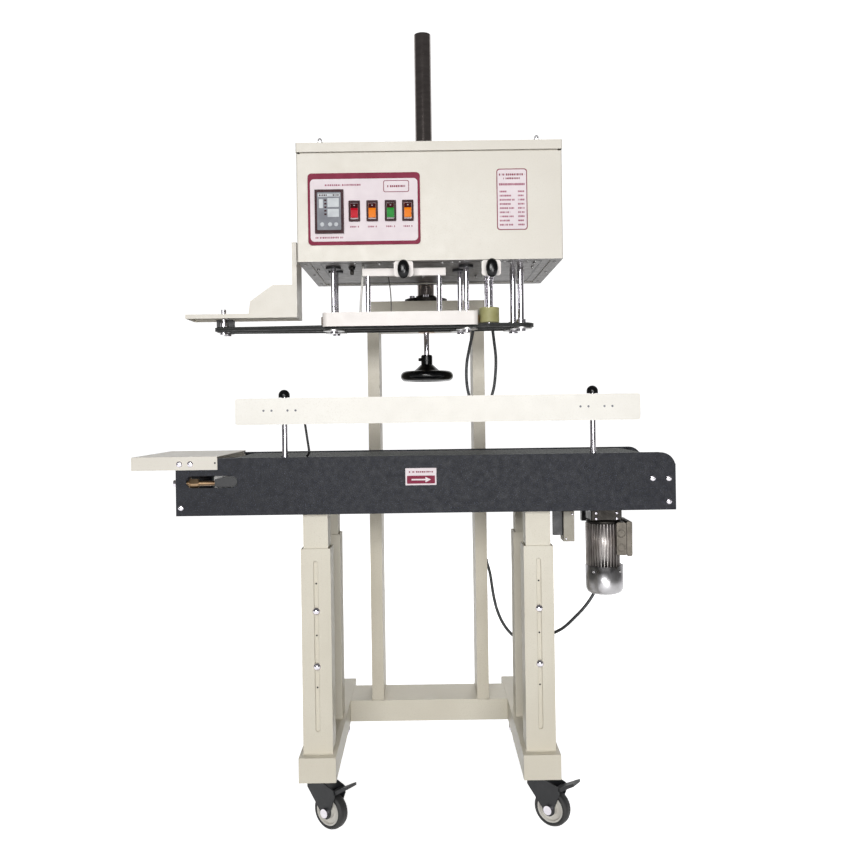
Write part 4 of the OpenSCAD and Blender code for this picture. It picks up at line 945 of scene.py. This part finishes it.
shape = Shape()
shape.lathe([(7, 0), (7, 2), (5.4, 3.4), (3.6, 3.4)], (143.5, 372, 480), RIGHT, 0, 24)
shape.lathe([(7.5, 0), (7.5, 2), (5.6, 3.6), (3.6, 3.6)], (121, 350, 1062), FRONT, 0, 24)
shape.build("cable_grommets", [MATT_BLACK], "base")
shape = Shape()
shape.lathe([(9, 0), (9, 4), (6.5, 8), (5, 22), (3.6, 24)], (158, 350, 1148), DOWN, 0, 24)
shape.build("head_cable_gland", [MATT_BLACK], "head")

shape = Shape()
for x in (-LEG_X, LEG_X):
    for y in (45, 490):
        for sx in (-1, 1):
            for sy in (-1, 1):
                hex_head(shape, (x + 26 * sx, y + 26 * sy, 102), DOWN, 5, 3.5)
shape.build("caster_bolts", [CHROME], "base")

def bead(shape, points, r):
    shape.tube(points + [points[0]], r, steps=8)


# Weld beads at the feet of the columns and sleeves
shape = Shape()
for x in (-121.5, 129.5):
    bead(shape, [(x - 14, 350, 155), (x + 14, 350, 155), (x + 14, 470, 155), (x - 14, 470, 155)], 1.6)
for x in (-LEG_X, LEG_X):
    for y in (45, 252):
        bead(shape, [(x - 30, y - 30, 155), (x + 30, y - 30, 155), (x + 30, y + 30, 155),
                     (x - 30, y + 30, 155)], 1.4)
shape.build("weld_beads", [STAND], "base")

shape = Shape()
shape.lathe([(4, 0), (4, 5), (3, 6.5), (0.01, 6.5)], (MAST_X - 14, MAST_Y, 971), LEFT, 0, 20)
shape.build("handwheel_screw", [DARK_STEEL], "handwheel")


# ---- Floor, world and lights ----

SKY_BELOW, SKY_ABOVE = 0.13, 0.2
FLOOR_GLOW = 0.86


def backdrop():
    """A floor that curves up into a wall behind the object, and three plain walls around it."""
    shape = bmesh.new()
    size, depth, bend, top = 9.0, 5.0, 1.5, 7.0
    profile = [(-size, 0.0), (depth - bend, 0.0)]
    profile += [(depth - bend + bend * math.sin(a), bend - bend * math.cos(a))
                for a in (math.pi / 2 * k / 12 for k in range(1, 13))]
    profile.append((depth, top))
    rows = [[shape.verts.new((x, y, z)) for x in (-size, size)] for y, z in profile]
    for low, high in zip(rows, rows[1:]):
        shape.faces.new((low[0], low[1], high[1], high[0])).smooth = True
    mesh = bpy.data.meshes.new("backdrop")
    shape.to_mesh(mesh)
    shape.free()
    f = Finish("pale_floor", (235, 235, 235), 0.9)
    f.mottle((232, 232, 232), 0.8).set(Emission_Strength=FLOOR_GLOW, Specular_IOR_Level=0.1)
    f.shader.inputs["Emission Color"].default_value = (1, 1, 1, 1)
    mesh.materials.append(f.material)
    obj = bpy.data.objects.new("backdrop", mesh)
    bpy.context.scene.collection.objects.link(obj)
    obj.visible_diffuse = False
    # The studio's other three walls, which light nothing and show only behind the object
    wall = bpy.data.meshes.new("studio_walls")
    corners = [(-size, depth), (-size, -size), (size, -size), (size, depth)]
    wall.from_pydata([(x, y, z) for x, y in corners for z in (0.0, top)], [],
                     [(2 * k, 2 * k + 2, 2 * k + 3, 2 * k + 1) for k in range(3)])
    wall.materials.append(f.material)
    walls = bpy.data.objects.new("studio_walls", wall)
    bpy.context.scene.collection.objects.link(walls)
    walls.visible_diffuse = walls.visible_glossy = walls.visible_shadow = False


backdrop()

world = bpy.data.worlds.new("studio")
world.use_nodes = True
bpy.context.scene.world = world
tree = world.node_tree
direction = tree.nodes.new("ShaderNodeTexCoord")
height = tree.nodes.new("ShaderNodeSeparateXYZ")
glow = tree.nodes.new("ShaderNodeMapRange")
for socket, number in (("From Min", -1), ("From Max", 1), ("To Min", SKY_BELOW), ("To Max", SKY_ABOVE)):
    glow.inputs[socket].default_value = number
tree.links.new(direction.outputs["Generated"], height.inputs[0])
tree.links.new(height.outputs["Z"], glow.inputs["Value"])
tree.links.new(glow.outputs["Result"], tree.nodes["Background"].inputs["Strength"])
tree.nodes["Background"].inputs["Color"].default_value = (1, 1, 1, 1)


def area(name, at, look, size, power, shine=True):
    light = bpy.data.lights.new(name, "AREA")
    light.shape = "RECTANGLE"
    light.size, light.size_y = size
    light.energy = power
    obj = bpy.data.objects.new(name, light)
    obj.location = at
    obj.rotation_euler = (Vector(look) - Vector(at)).to_track_quat("-Z", "Y").to_euler()
    bpy.context.scene.collection.objects.link(obj)
    obj.visible_camera = False
    obj.visible_glossy = shine


area("key", (-0.6, -5.0, 1.9), (0, 0, 0.8), (1.8, 1.2), 128)
area("fill", (0.9, -5.0, 0.7), (0, 0, 0.8), (1.2, 1.2), 66)
area("back", (0.6, 3.4, 2.0), (0, 0, 0.9), (1.6, 1.2), 62, shine=False)

view = bpy.context.scene.view_settings
view.view_transform = "Standard"
